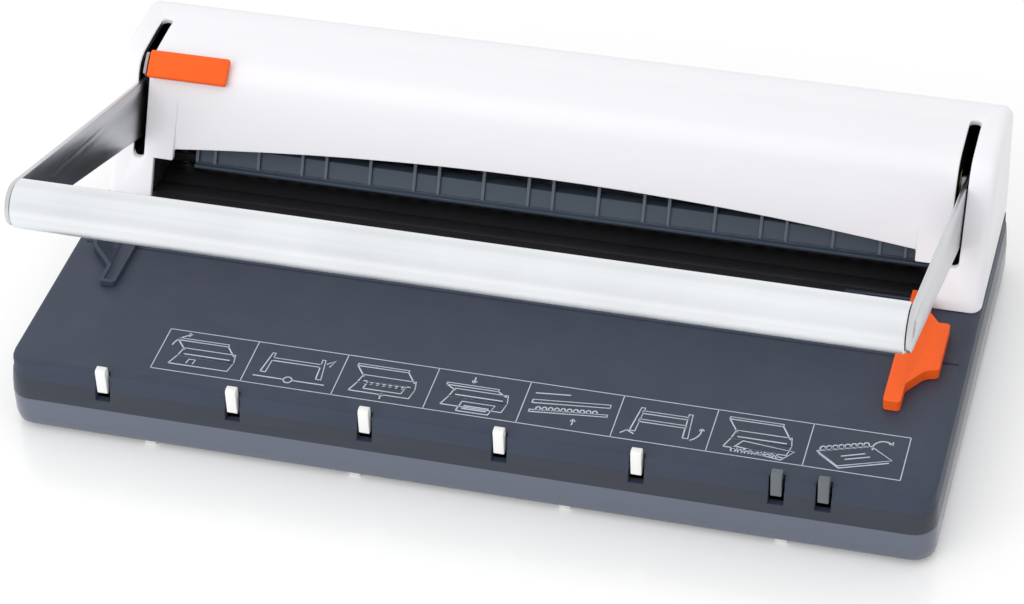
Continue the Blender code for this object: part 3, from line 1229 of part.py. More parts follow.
MACHINE = empty("machine_origin", (0, -CENTRE_Y, FOOT_HEIGHT))
HANDLE = empty("handle_axis", (0, PIVOT_Y, PIVOT_Z), MACHINE)
SELECTOR = empty("selector_axis", (0, PIVOT_Y, PIVOT_Z), MACHINE)
RAM = empty("ram_slide", (0, 0, 0), MACHINE)
GUIDE = empty("guide_slide", (0, 0, 0), MACHINE)
TRAY = empty("tray_slide", (0, 0, 0), MACHINE)

build_base(MACHINE)
build_bottom(MACHINE)
build_pegs(MACHINE)
build_cover(MACHINE)
build_frames(MACHINE)
build_bed(MACHINE)
build_springs(MACHINE)
build_left_guide(MACHINE)
build_handle(HANDLE)
build_selector(SELECTOR)
build_ram(RAM)
build_right_guide(GUIDE)
build_tray(TRAY)
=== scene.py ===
"""Looks of a desk wire binding machine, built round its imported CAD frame.

Sizes are in metres in the frame's own axes: +X to the machine's right, +Y to its back and
+Z up, with the origin on the desk under the machine's middle. Every piece stands where the
frame's node stands; what repeats is made by node trees that the script builds.
"""

from __future__ import annotations

import json
import logging
import math
import sys
from collections.abc import Callable, Sequence
from dataclasses import dataclass, field
from enum import Enum

import bmesh
import bpy
from mathutils import Matrix, Vector, geometry

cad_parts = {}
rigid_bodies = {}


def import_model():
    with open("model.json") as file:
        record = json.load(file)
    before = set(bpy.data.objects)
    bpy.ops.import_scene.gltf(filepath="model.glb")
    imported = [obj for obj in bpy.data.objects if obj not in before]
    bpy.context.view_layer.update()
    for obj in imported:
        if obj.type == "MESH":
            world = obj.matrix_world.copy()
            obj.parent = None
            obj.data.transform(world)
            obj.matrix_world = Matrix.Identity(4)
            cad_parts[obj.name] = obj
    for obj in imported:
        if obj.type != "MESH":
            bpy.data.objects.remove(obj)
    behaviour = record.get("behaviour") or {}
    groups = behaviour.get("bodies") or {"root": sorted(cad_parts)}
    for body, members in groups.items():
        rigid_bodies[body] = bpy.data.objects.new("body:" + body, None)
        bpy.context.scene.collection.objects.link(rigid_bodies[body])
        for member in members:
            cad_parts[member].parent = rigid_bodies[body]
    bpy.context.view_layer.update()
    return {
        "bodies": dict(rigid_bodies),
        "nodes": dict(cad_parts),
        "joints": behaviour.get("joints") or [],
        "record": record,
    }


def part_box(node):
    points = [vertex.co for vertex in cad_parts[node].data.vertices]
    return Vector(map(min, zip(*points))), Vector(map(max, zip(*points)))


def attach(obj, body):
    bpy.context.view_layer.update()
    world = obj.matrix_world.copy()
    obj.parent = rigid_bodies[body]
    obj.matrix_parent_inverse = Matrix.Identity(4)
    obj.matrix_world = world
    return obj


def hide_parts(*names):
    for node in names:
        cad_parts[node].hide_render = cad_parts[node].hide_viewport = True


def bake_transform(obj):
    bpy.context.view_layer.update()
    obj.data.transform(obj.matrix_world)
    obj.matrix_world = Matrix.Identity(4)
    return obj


LOG = logging.getLogger("wire_binding_machine")
MM = 0.001
DEG = math.pi / 180
FULL_TURN = 2 * math.pi
SMOOTH_ANGLE = 32 * DEG
BEVEL_ANGLE = 38 * DEG
WELD = 0.002 * MM
FLAT_ANGLE = 0.4 * DEG
LOOP_PITCH = 25.4 * MM / 3
HAIR = 0.05 * MM
WEAR_REACH = 0.4 * MM
DUST_COLOUR = (0.52, 0.51, 0.49, 1.0)
DUST_MATT = 0.5
WHITE = (1.0, 1.0, 1.0, 1.0)
WIRE_STEPS = 28
WIRE_SIDES = 10

Colour = tuple[float, float, float]
Point = tuple[float, float]
Place = tuple[float, float, float]
Stroke = list[Point]
Socket = bpy.types.NodeSocket
Tree = bpy.types.NodeTree
Outputs = bpy.types.NodeOutputs
Material = bpy.types.Material
Mesh = bpy.types.Mesh
Item = bpy.types.Object
Work = bmesh.types.BMesh
Corner = bmesh.types.BMVert


class Sheet:
    """Short hand for filling one node tree."""

    def __init__(self, tree: Tree) -> None:
        """Keeps the tree to fill."""
        self.tree = tree

    def add(self, kind: str, inputs: dict | None = None, **settings: object) -> bpy.types.Node:
        """Adds a node.

        Args:
            kind: Node type.
            inputs: Value or source socket for each input, by name or number.
            **settings: Properties of the node.

        Returns:
            The new node.
        """
        node = self.tree.nodes.new(kind)
        for key, value in settings.items():
            setattr(node, key, value)
        for key, value in (inputs or {}).items():
            if isinstance(value, Socket):
                self.tree.links.new(value, node.inputs[key])
            else:
                node.inputs[key].default_value = value
        return node

    def face(self, way: str, kinds: dict[str, str]) -> None:
        """Adds named sockets to the tree's own interface.

        Args:
            way: INPUT or OUTPUT.
            kinds: Socket type of each name, without its NodeSocket prefix.
        """
        for name, kind in kinds.items():
            self.tree.interface.new_socket(name=name, in_out=way,
                                           socket_type=f"NodeSocket{kind}")

    def takes(self, **kinds: str) -> Outputs:
        """Adds the tree's inputs and returns the sockets that bring their values in."""
        self.face("INPUT", kinds)
        return self.add("NodeGroupInput").outputs

    def gives(self, kind: str, **results: Socket) -> Tree:
        """Adds the tree's outputs, all of one type, which ends the tree.

        Args:
            kind: Their socket type, without its NodeSocket prefix.
            **results: Socket that feeds each output.

        Returns:
            The finished tree.
        """
        self.face("OUTPUT", dict.fromkeys(results, kind))
        self.add("NodeGroupOutput", results)
        return self.tree

    def group(self, tree: Tree, **inputs: object) -> Outputs:
        """Places a shader group and returns its outputs."""
        return self.add("ShaderNodeGroup", inputs, node_tree=tree).outputs

    def math(self, operation: str, first: object, second: object = 0.0,
             clamp: bool = False) -> Socket:
        """Result of a Math node, kept between 0 and 1 if clamp says so."""
        return self.add("ShaderNodeMath", {0: first, 1: second}, operation=operation,
                        use_clamp=clamp).outputs[0]

    def blend(self, share: object, first: object, second: object) -> Socket:
        """Colour between two, with this share of the second."""
        return self.add("ShaderNodeMix", {0: share, 6: first, 7: second},
                        data_type="RGBA").outputs[2]

    def spread(self, value: object, low: float, high: float, first: float = 0.0,
               last: float = 1.0) -> Socket:
        """Maps the range from low to high onto first to last, and clamps it."""
        return self.add("ShaderNodeMapRange", {0: value, 1: low, 2: high, 3: first,
                                               4: last}).outputs[0]

    def noise(self, place: object, scale: object, detail: float,
              rough: float = 0.5) -> Socket:
        """Noise from 0 to 1 at a place."""
        return self.add("ShaderNodeTexNoise",
                        {"Vector": place, "Scale": scale, "Detail": detail,
                         "Roughness": rough}).outputs["Fac"]


@dataclass
class Effects:
    """Shader node groups that several materials use, each built once.

    A noise has a scale to the metre, a detail and a roughness, and a range is the two values
    that become 0 and 1.

    Attributes:
        pebbles: Shares of pebbles and of fine noise in a moulding's height.
        fine: Fine noise, its scale over that of the pebbles.
        broad: Broad noise of a moulding.
        lines: Noise of the strokes, its scale over the one that they are given.
        bands: Wider noise of the strokes, its scale over the same.
        drift: Broad noise of the strokes.
        cloud: Range of both broad noises.
        band_range: Range of the strokes' wider noise.
        rubbed: Noise that breaks up rubbed edges.
        rubbed_range: Its range.
        rubbed_least: Share of rubbing that it leaves everywhere.
        turn: Range of the cosine by which a rounded normal parts from the true one.
        samples: Samples of that rounded normal.
        film: Noise that breaks up dust.
        film_range: Its range.
        rise: Range of a normal's rise over which dust settles.
    """

    pebbles: Point = (0.6, 0.4)
    fine: Place = (0.6, 2.0, 0.5)
    broad: Place = (34.0, 3.0, 0.45)
    lines: Place = (1.0, 3.0, 0.6)
    bands: Place = (0.12, 2.0, 0.5)
    drift: Place = (26.0, 2.0, 0.5)
    cloud: Point = (0.3, 0.7)
    band_range: Point = (0.32, 0.68)
    rubbed: Place = (240.0, 3.0, 0.5)
    rubbed_range: Point = (0.36, 0.62)
    rubbed_least: float = 0.25
    turn: Point = (0.995, 0.86)
    samples: int = 4
    film: Place = (60.0, 5.0, 0.7)
    film_range: Point = (0.42, 0.75)
    rise: Point = (0.5, 1.0)

    def __post_init__(self) -> None:
        """Builds every group."""
        self.skin = self._skin()
        self.strokes = self._strokes()
        self.edges = self._edges()
        self.dust = self._dust()

    @staticmethod
    def _sheet(name: str) -> Sheet:
        """New empty shader group on a sheet."""
        return Sheet(bpy.data.node_groups.new(name, "ShaderNodeTree"))

    def _skin(self) -> Tree:
        """Fine pebbled texture of a moulding, with broad soft variation.

        Returns:
            Group with inputs Place and Grain, and outputs Height, Tone and Cloud.
        """
        sheet = self._sheet("moulded_skin")
        given = sheet.takes(Place="Vector", Grain="Float")
        scale = sheet.math("DIVIDE", 1.0, given["Grain"])
        pebble = sheet.add("ShaderNodeTexVoronoi", {"Vector": given["Place"], "Scale": scale},
                           feature="SMOOTH_F1").outputs["Distance"]
        fine = sheet.noise(given["Place"], sheet.math("MULTIPLY", scale, self.fine[0]),
                           *self.fine[1:])
        broad = sheet.noise(given["Place"], *self.broad)
        height = sheet.math("ADD", sheet.math("MULTIPLY", pebble, self.pebbles[0]),
                            sheet.math("MULTIPLY", fine, self.pebbles[1]))
        return sheet.gives("Float", Height=height, Tone=fine,
                           Cloud=sheet.spread(broad, *self.cloud))

    def _strokes(self) -> Tree:
        """Fine lines that run one way, as on drawn, brushed or ground metal.

        Returns:
            Group with inputs Place and Stretch, and outputs Height, Tone and Cloud.
        """
        sheet = self._sheet("one_way_strokes")
        given = sheet.takes(Place="Vector", Stretch="Vector")
        place = sheet.add("ShaderNodeVectorMath", {0: given["Place"], 1: given["Stretch"]},
                          operation="MULTIPLY").outputs[0]
        wide = sheet.noise(place, *self.bands)
        broad = sheet.noise(given["Place"], *self.drift)
        return sheet.gives("Float", Height=sheet.noise(place, *self.lines),
                           Tone=sheet.spread(wide, *self.band_range),
                           Cloud=sheet.spread(broad, *self.cloud))

    def _edges(self) -> Tree:
        """Mask of rubbed edges, broken up by noise.

        Returns:
            Group with inputs Place and Reach, and output Mask.
        """
        sheet = self._sheet("rubbed_edges")
        given = sheet.takes(Place="Vector", Reach="Float")
        soft = sheet.add("ShaderNodeBevel", {"Radius": given["Reach"]},
                         samples=self.samples).outputs[0]
        flat = sheet.add("ShaderNodeNewGeometry").outputs["Normal"]
        same = sheet.add("ShaderNodeVectorMath", {0: soft, 1: flat},
                         operation="DOT_PRODUCT").outputs["Value"]
        broken = sheet.spread(sheet.noise(given["Place"], *self.rubbed), *self.rubbed_range,
                              self.rubbed_least, 1.0)
        return sheet.gives("Float", Mask=sheet.math("MULTIPLY", sheet.spread(same, *self.turn),
                                                    broken, True))

    def _dust(self) -> Tree:
        """Mask of a thin film of dust on what faces up.

        Returns:
            Group with input Place and output Mask.
        """
        sheet = self._sheet("settled_dust")
        given = sheet.takes(Place="Vector")
        normal = sheet.add("ShaderNodeNewGeometry").outputs["Normal"]
        lift = sheet.add("ShaderNodeSeparateXYZ", {0: normal}).outputs["Z"]
        broken = sheet.spread(sheet.noise(given["Place"], *self.film), *self.film_range)
        return sheet.gives("Float", Mask=sheet.math("MULTIPLY", sheet.spread(lift, *self.rise),
                                                    broken, True))


class Texture(Enum):
    """Ways a surface can be textured."""

    SKIN = "moulded skin"
    STROKES = "one way strokes"


@dataclass(frozen=True)
class Patch:
    """Look of the faces that an attribute of the mesh marks.

    Attributes:
        mark: Attribute's name, 1 on those faces and 0 elsewhere.
        colour: Their base colour, linear.
        gloss: Their roughness over that of the rest.
        specular: Level of their plain reflection, none where it is that of the rest.
    """

    mark: str
    colour: Colour
    gloss: float = 1.0
    specular: float | None = None


@dataclass(frozen=True)
class Finish:
    """One surface finish.

    Attributes:
        name: Material's name.
        slot: Record's material slot, empty for what has none.
        colour: Base colour, linear.
        roughness: Middle roughness.
        metallic: 1 for bare metal.
        texture: How the surface is textured.
        grain: Size of the moulded grain.
        stretch: Lines to the metre each way, for strokes.
        depth: Height of the bump.
        mottle: Share by which the colour varies.
        gloss_spread: How far the roughness varies.
        worn: Colour of a rubbed edge.
        wear: Share of that colour on a rubbed edge.
        dust: Share of dust on what faces up.
        specular: Level of the plain reflection.
        patches: Marked faces that look different.
    """

    name: str
    slot: str
    colour: Colour
    roughness: float
    metallic: float = 0.0
    texture: Texture = Texture.SKIN
    grain: float = 0.4 * MM
    stretch: Place = (60.0, 6000.0, 6000.0)
    depth: float = 0.01 * MM
    mottle: float = 0.05
    gloss_spread: float = 0.08
    worn: Colour = (0.5, 0.5, 0.5)
    wear: float = 0.0
    dust: float = 0.0
    specular: float = 0.5
    patches: tuple[Patch, ...] = ()

    def shade(self, share: float) -> tuple[float, float, float, float]:
        """Base colour made lighter or darker by a share, with alpha."""
        return (*(min(part * (1 + share), 1.0) for part in self.colour), 1.0)

    def build(self, effects: Effects) -> Material:
        """Builds the material.

        Args:
            effects: Shared shader groups.

        Returns:
            The new material.
        """
        material = bpy.data.materials.new(self.name)
        material.use_nodes = True
        material.diffuse_color = self.shade(0.0)
        sheet = Sheet(material.node_tree)
        links = sheet.tree.links
        shader = sheet.tree.nodes["Principled BSDF"]
        place = sheet.add("ShaderNodeTexCoord").outputs["Object"]
        if self.texture is Texture.STROKES:
            marks = sheet.group(effects.strokes, Place=place, Stretch=self.stretch)
        else:
            marks = sheet.group(effects.skin, Place=place, Grain=self.grain)
        tone = sheet.math("MULTIPLY", sheet.math("ADD", marks["Tone"], marks["Cloud"]), 0.5)
        colour = sheet.blend(tone, self.shade(-self.mottle), self.shade(self.mottle))
        half = self.gloss_spread / 2
        rough = sheet.spread(tone, 0.0, 1.0, self.roughness - half, self.roughness + half)
        if self.wear:
            mask = sheet.group(effects.edges, Place=place, Reach=WEAR_REACH)["Mask"]
            share = sheet.math("MULTIPLY", mask, self.wear)
            colour = sheet.blend(share, colour, (*self.worn, 1.0))
        if self.dust:
            mask = sheet.group(effects.dust, Place=place)["Mask"]
            share = sheet.math("MULTIPLY", mask, self.dust)
            colour = sheet.blend(share, colour, DUST_COLOUR)
            rough = sheet.math("ADD", rough, sheet.math("MULTIPLY", share, DUST_MATT), True)
        shader.inputs["Specular IOR Level"].default_value = self.specular
        level: object = self.specular
        for patch in self.patches:
            mark = sheet.add("ShaderNodeAttribute", attribute_name=patch.mark).outputs["Fac"]
            colour = sheet.blend(mark, colour, (*patch.colour, 1.0))
            gloss = sheet.spread(mark, 0.0, 1.0, 1.0, patch.gloss)
            rough = sheet.math("MULTIPLY", rough, gloss)
            if patch.specular is not None:
                level = sheet.add("ShaderNodeMix", {0: mark, 2: level,
                                                    3: patch.specular}).outputs[0]
                links.new(level, shader.inputs["Specular IOR Level"])
        bump = sheet.add("ShaderNodeBump", {"Strength": 1.0, "Distance": self.depth,
                                            "Height": marks["Height"]})
        links.new(colour, shader.inputs["Base Color"])
        links.new(rough, shader.inputs["Roughness"])
        links.new(bump.outputs[0], shader.inputs["Normal"])
        shader.inputs["Metallic"].default_value = self.metallic
        return material


@dataclass(frozen=True)
class Palette:
    """All finishes of the machine."""

    slate: Finish = Finish(
        "slate_moulding", "slate_plastic", (0.041, 0.052, 0.081), 0.50, grain=0.45 * MM,
        depth=0.012 * MM, worn=(0.13, 0.15, 0.20), wear=0.3, dust=0.02, specular=0.3,
        # Lower band: its lighter colour is painted reflection of the front light, its gloss is
        # real; band over it: its darker colour is painted groove shade.
        patches=(Patch("glossy_band_painted_sheen", (0.087, 0.106, 0.152), 0.45, 0.9),
                 Patch("sunk_band_painted_shade", (0.022, 0.028, 0.043), 0.6, 0.5)))
    white: Finish = Finish(
        "white_moulding", "white_plastic", (0.91, 0.905, 0.94), 0.34, grain=0.5 * MM,
        depth=0.003 * MM, mottle=0.006, gloss_spread=0.05, specular=0.35,
        # Inside faces: dark red-brown painted shade, seen through the slots in the white
        # cover.
        patches=(Patch("inside", (0.034, 0.018, 0.019)),))
    orange: Finish = Finish(
        "orange_moulding", "orange_plastic", (1.0, 0.130, 0.016), 0.40, depth=0.004 * MM,
        mottle=0.03, worn=(1.0, 0.24, 0.06), wear=0.3, specular=0.2)
    white_peg: Finish = Finish(
        "white_peg_moulding", "white_peg", (0.88, 0.88, 0.86), 0.35, depth=0.003 * MM,
        mottle=0.015)
    grey_peg: Finish = Finish(
        "grey_peg_moulding", "grey_peg", (0.12, 0.14, 0.15), 0.35, depth=0.003 * MM,
        mottle=0.04, worn=(0.35, 0.37, 0.38), wear=0.4)
    press_paint: Finish = Finish(
        "blue_grey_paint", "blue_grey_metal", (0.050, 0.069, 0.098), 0.42, grain=0.7 * MM,
        depth=0.008 * MM, worn=(0.22, 0.24, 0.30), wear=0.5)
    # Lighter copy of the press bar's blue-grey paint: painted highlight on the raised ribs,
    # which catch more light than the cells.
    rib_paint_painted_highlight: Finish = Finish(
        "blue_grey_paint_painted_highlight", "blue_grey_metal", (0.105, 0.130, 0.172), 0.42,
        grain=0.7 * MM, depth=0.008 * MM, worn=(0.26, 0.29, 0.35), wear=0.5)
    aluminium: Finish = Finish(
        "drawn_aluminium", "satin_aluminium", (0.82, 0.84, 0.86), 0.42, 1.0,
        Texture.STROKES, stretch=(9.0, 2600.0, 2600.0), depth=0.008 * MM, mottle=0.10,
        gloss_spread=0.20)
    polished: Finish = Finish(
        "polished_steel_strip", "polished_steel", (0.62, 0.63, 0.65), 0.30, 1.0,
        Texture.STROKES, stretch=(3000.0, 60.0, 3000.0), depth=0.0012 * MM, mottle=0.03,
        worn=(0.9, 0.9, 0.92), wear=0.3)
    steel: Finish = Finish(
        "machined_steel", "plain_steel", (0.42, 0.43, 0.45), 0.34, 1.0, Texture.STROKES,
        stretch=(2500.0, 2500.0, 200.0), depth=0.003 * MM, mottle=0.08,
        worn=(0.75, 0.75, 0.77), wear=0.4)
    # Very dark steel for the throat's fixed pieces, side frames and the shadow strip: its
    # darkness is painted shade, standing in for the deep shade in the throat and behind the
    # arm slots.
    black: Finish = Finish(
        "steel_darkened_as_throat_shade", "blackened_steel", (0.014, 0.014, 0.016), 0.48,
        grain=0.6 * MM, depth=0.006 * MM, mottle=0.2, worn=(0.10, 0.10, 0.11), wear=0.3)
    bronze: Finish = Finish(
        "bronze_bush", "bush_bronze", (0.62, 0.42, 0.18), 0.34, 1.0, Texture.STROKES,
        stretch=(200.0, 2500.0, 2500.0), depth=0.003 * MM, mottle=0.08)
    rubber: Finish = Finish(
        "black_rubber", "foot_rubber", (0.020, 0.020, 0.021), 0.82, grain=0.8 * MM,
        depth=0.02 * MM, mottle=0.15, dust=0.06)
    pale_rubber: Finish = Finish(
        "pale_rubber_pad", "pale_rubber", (0.72, 0.72, 0.68), 0.55, mottle=0.04)
    ink: Finish = Finish(
        "printed_lines", "", (0.58, 0.62, 0.72), 0.5, grain=0.25 * MM, depth=0.002 * MM,
        mottle=0.16)


def fresh(name: str, fill: Callable[[Work], None]) -> Mesh:
    """Mesh that a function fills.

    Args:
        name: Mesh's name.
        fill: Function that adds to an empty bmesh.

    Returns:
        The mesh, with its faces turned outwards.
    """
    work = bmesh.new()
    fill(work)
    bmesh.ops.recalc_face_normals(work, faces=work.faces)
    mesh = bpy.data.meshes.new(name)
    work.to_mesh(mesh)
    work.free()
    return mesh


def ring(work: Work, points: Sequence[Vector]) -> list[Corner]:
    """Adds one vertex for each point and returns them."""
    return [work.verts.new(point) for point in points]


def bridge(work: Work, first: Sequence[Corner], second: Sequence[Corner]) -> None:
    """Joins two closed rings with four-sided faces.

    Args:
        work: Bmesh to add to.
        first: One ring.
        second: The other, with as many vertices.
    """
    count = len(first)
    for index in range(count):
        after = (index + 1) % count
        work.faces.new((first[index], first[after], second[after], second[index]))


def axes(axis: Vector) -> tuple[Vector, Vector, Vector]:
    """Unit vector along an axis and two square to it.

    Args:
        axis: Direction of the axis.

    Returns:
        The one along it, then the two that are square to it and to each other.
    """
    along = axis.normalized()
    across = along.orthogonal().normalized()
    return along, across, along.cross(across)


def lathe(name: str, profile: Sequence[Point], axis: Vector, start: Vector,
          steps: int) -> Mesh:
    """Closed mesh turned round an axis from a profile that ends on it.

    Args:
        name: Mesh's name.
        profile: Radius and distance along the axis of each point; both ends have no radius.
        axis: Direction of the axis.
        start: Point that the distances run from.
        steps: Sides of each ring.

    Returns:
        The mesh.
    """
    along, across, beside = axes(axis)
    turns = [FULL_TURN * step / steps for step in range(steps)]

    def fill(work: Work) -> None:
        """Adds the rings and their two poles.

        Args:
            work: Bmesh to add to.
        """
        poles = [work.verts.new(start + along * profile[end][1]) for end in (0, -1)]
        rings = [ring(work, [start + along * lift + radius * (
            across * math.cos(turn) + beside * math.sin(turn)) for turn in turns])
                 for radius, lift in profile[1:-1]]
        for lower, upper in zip(rings, rings[1:]):
            bridge(work, lower, upper)
        for pole, edge in zip(poles, (rings[0], rings[-1])):
            for index in range(steps):
                work.faces.new((pole, edge[index], edge[(index + 1) % steps]))
    return fresh(name, fill)


def slab(name: str, near: Sequence[Vector], far: Sequence[Vector]) -> Mesh:
    """Closed mesh between two flat outlines.

    Args:
        name: Mesh's name.
        near: Corners of one outline.
        far: Corners of the other, as many and in the same order.

    Returns:
        The mesh.
    """
    def fill(work: Work) -> None:
        """Adds both end faces and the sides.

        Args:
            work: Bmesh to add to.
        """
        first, last = ring(work, near), ring(work, far)
        bridge(work, first, last)
        work.faces.new(first)
        work.faces.new(list(reversed(last)))
    return fresh(name, fill)


def prism(name: str, section: Sequence[Point], low: float, high: float) -> Mesh:
    """Slab drawn out from low to high along X, from a section of Y and Z places."""
    return slab(name, *([Vector((x, *point)) for point in section] for x in (low, high)))


class Workshop:
    """Makes pieces, dresses them and hangs them on the frame's bodies."""

    def __init__(self, frame: dict, palette: Palette) -> None:
        """Builds the shader groups.

        Args:
            palette: All finishes.
        """
        self.nodes = frame["nodes"]
        self.effects = Effects()
        self.palette = palette
        self.made: dict[str, Material] = {}

    def material(self, finish: Finish) -> Material:
        """Material of a finish, built at its first use.

        Args:
            finish: Finish that is asked for.

        Returns:
            Its material.
        """
        if finish.name not in self.made:
            self.made[finish.name] = finish.build(self.effects)
        return self.made[finish.name]

    def thing(self, name: str, mesh: Mesh) -> Item:
        """New object in the scene that holds a mesh.

        Args:
            name: Object's name.
            mesh: Mesh that it holds.

        Returns:
            The object.
        """
        item = bpy.data.objects.new(name, mesh)
        bpy.context.scene.collection.objects.link(item)
        return item

    def copied(self, node: str, name: str, collapse: float = 0.0) -> Item:
        """Copy of a frame node, its loose triangles merged into whole faces.

        Args:
            node: Frame node to copy.
            name: New object's name.
            collapse: Edges shorter than this are drawn together.

        Returns:
            The copy.
        """
        work = bmesh.new()
        work.from_mesh(self.nodes[node].data)
        bmesh.ops.remove_doubles(work, verts=work.verts, dist=WELD)
        bmesh.ops.dissolve_limit(work, angle_limit=FLAT_ANGLE, verts=work.verts,
                                 edges=work.edges)
        if collapse:
            bmesh.ops.dissolve_degenerate(work, dist=collapse, edges=work.edges)
        mesh = bpy.data.meshes.new(name)
        work.to_mesh(mesh)
        work.free()
        return self.thing(name, mesh)

    def soften(self, item: Item, width: float, segments: int = 2) -> None:
        """Rounds an object's sharp edges with a bevel modifier.

        Args:
            item: Object to round.
            width: Width of the bevel.
            segments: Faces across it.
        """
        bevel = item.modifiers.new("soft_edges", "BEVEL")
        bevel.width = width
        bevel.segments = segments
        bevel.limit_method = "ANGLE"
        bevel.angle_limit = BEVEL_ANGLE
        bevel.use_clamp_overlap = False

    def settle(self, item: Item) -> Item:
        """Turns an object's modifiers into a plain mesh of its own.

        Args:
            item: Object to settle.

        Returns:
            The same object.
        """
        graph = bpy.context.evaluated_depsgraph_get()
        mesh = bpy.data.meshes.new_from_object(item.evaluated_get(graph))
        item.modifiers.clear()
        old = item.data
        item.data = mesh
        mesh.name = item.name
        if old.users == 0:
            bpy.data.meshes.remove(old)
        return item

    def dress(self, item: Item, finish: Finish) -> None:
        """Gives an object one finish as its only material."""
        item.data.materials.clear()
        item.data.materials.append(self.material(finish))

    def finish(self, item: Item, finish: Finish, body: str,
               nodes: Sequence[str] = ()) -> Item:
        """Settles, dresses and hangs one piece, and hides the nodes that it stands for.

        Args:
            item: Piece.
            finish: Its finish.
            body: Body that it moves with.
            nodes: Frame nodes that it stands for.

        Returns:
            The piece.
        """
        self.settle(item)
        item.data.shade_smooth()
        item.data.set_sharp_from_angle(angle=SMOOTH_ANGLE)
        self.dress(item, finish)
        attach(item, body)
        if nodes:
            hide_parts(*nodes)
        LOG.info("%s: %d faces on %s", item.name, len(item.data.polygons), body)
        return item

    def refine(self, node: str, name: str, width: float, finish: Finish,
               body: str = "root", segments: int = 2,
               collapse: float = 0.0) -> Item:
        """Stands a copy with soft edges in for one frame node.

        Args:
            node: Frame node.
            name: Piece's name.
            width: Width of its soft edges, none where the node's own are soft already.
            finish: Its finish.
            body: Body that it moves with.
            segments: Faces across a soft edge.
            collapse: Edges shorter than this are drawn together.

        Returns:
            The piece.
        """
        item = self.copied(node, name, collapse)
        if width:
            self.soften(item, width, segments)
        return self.finish(item, finish, body, [node])


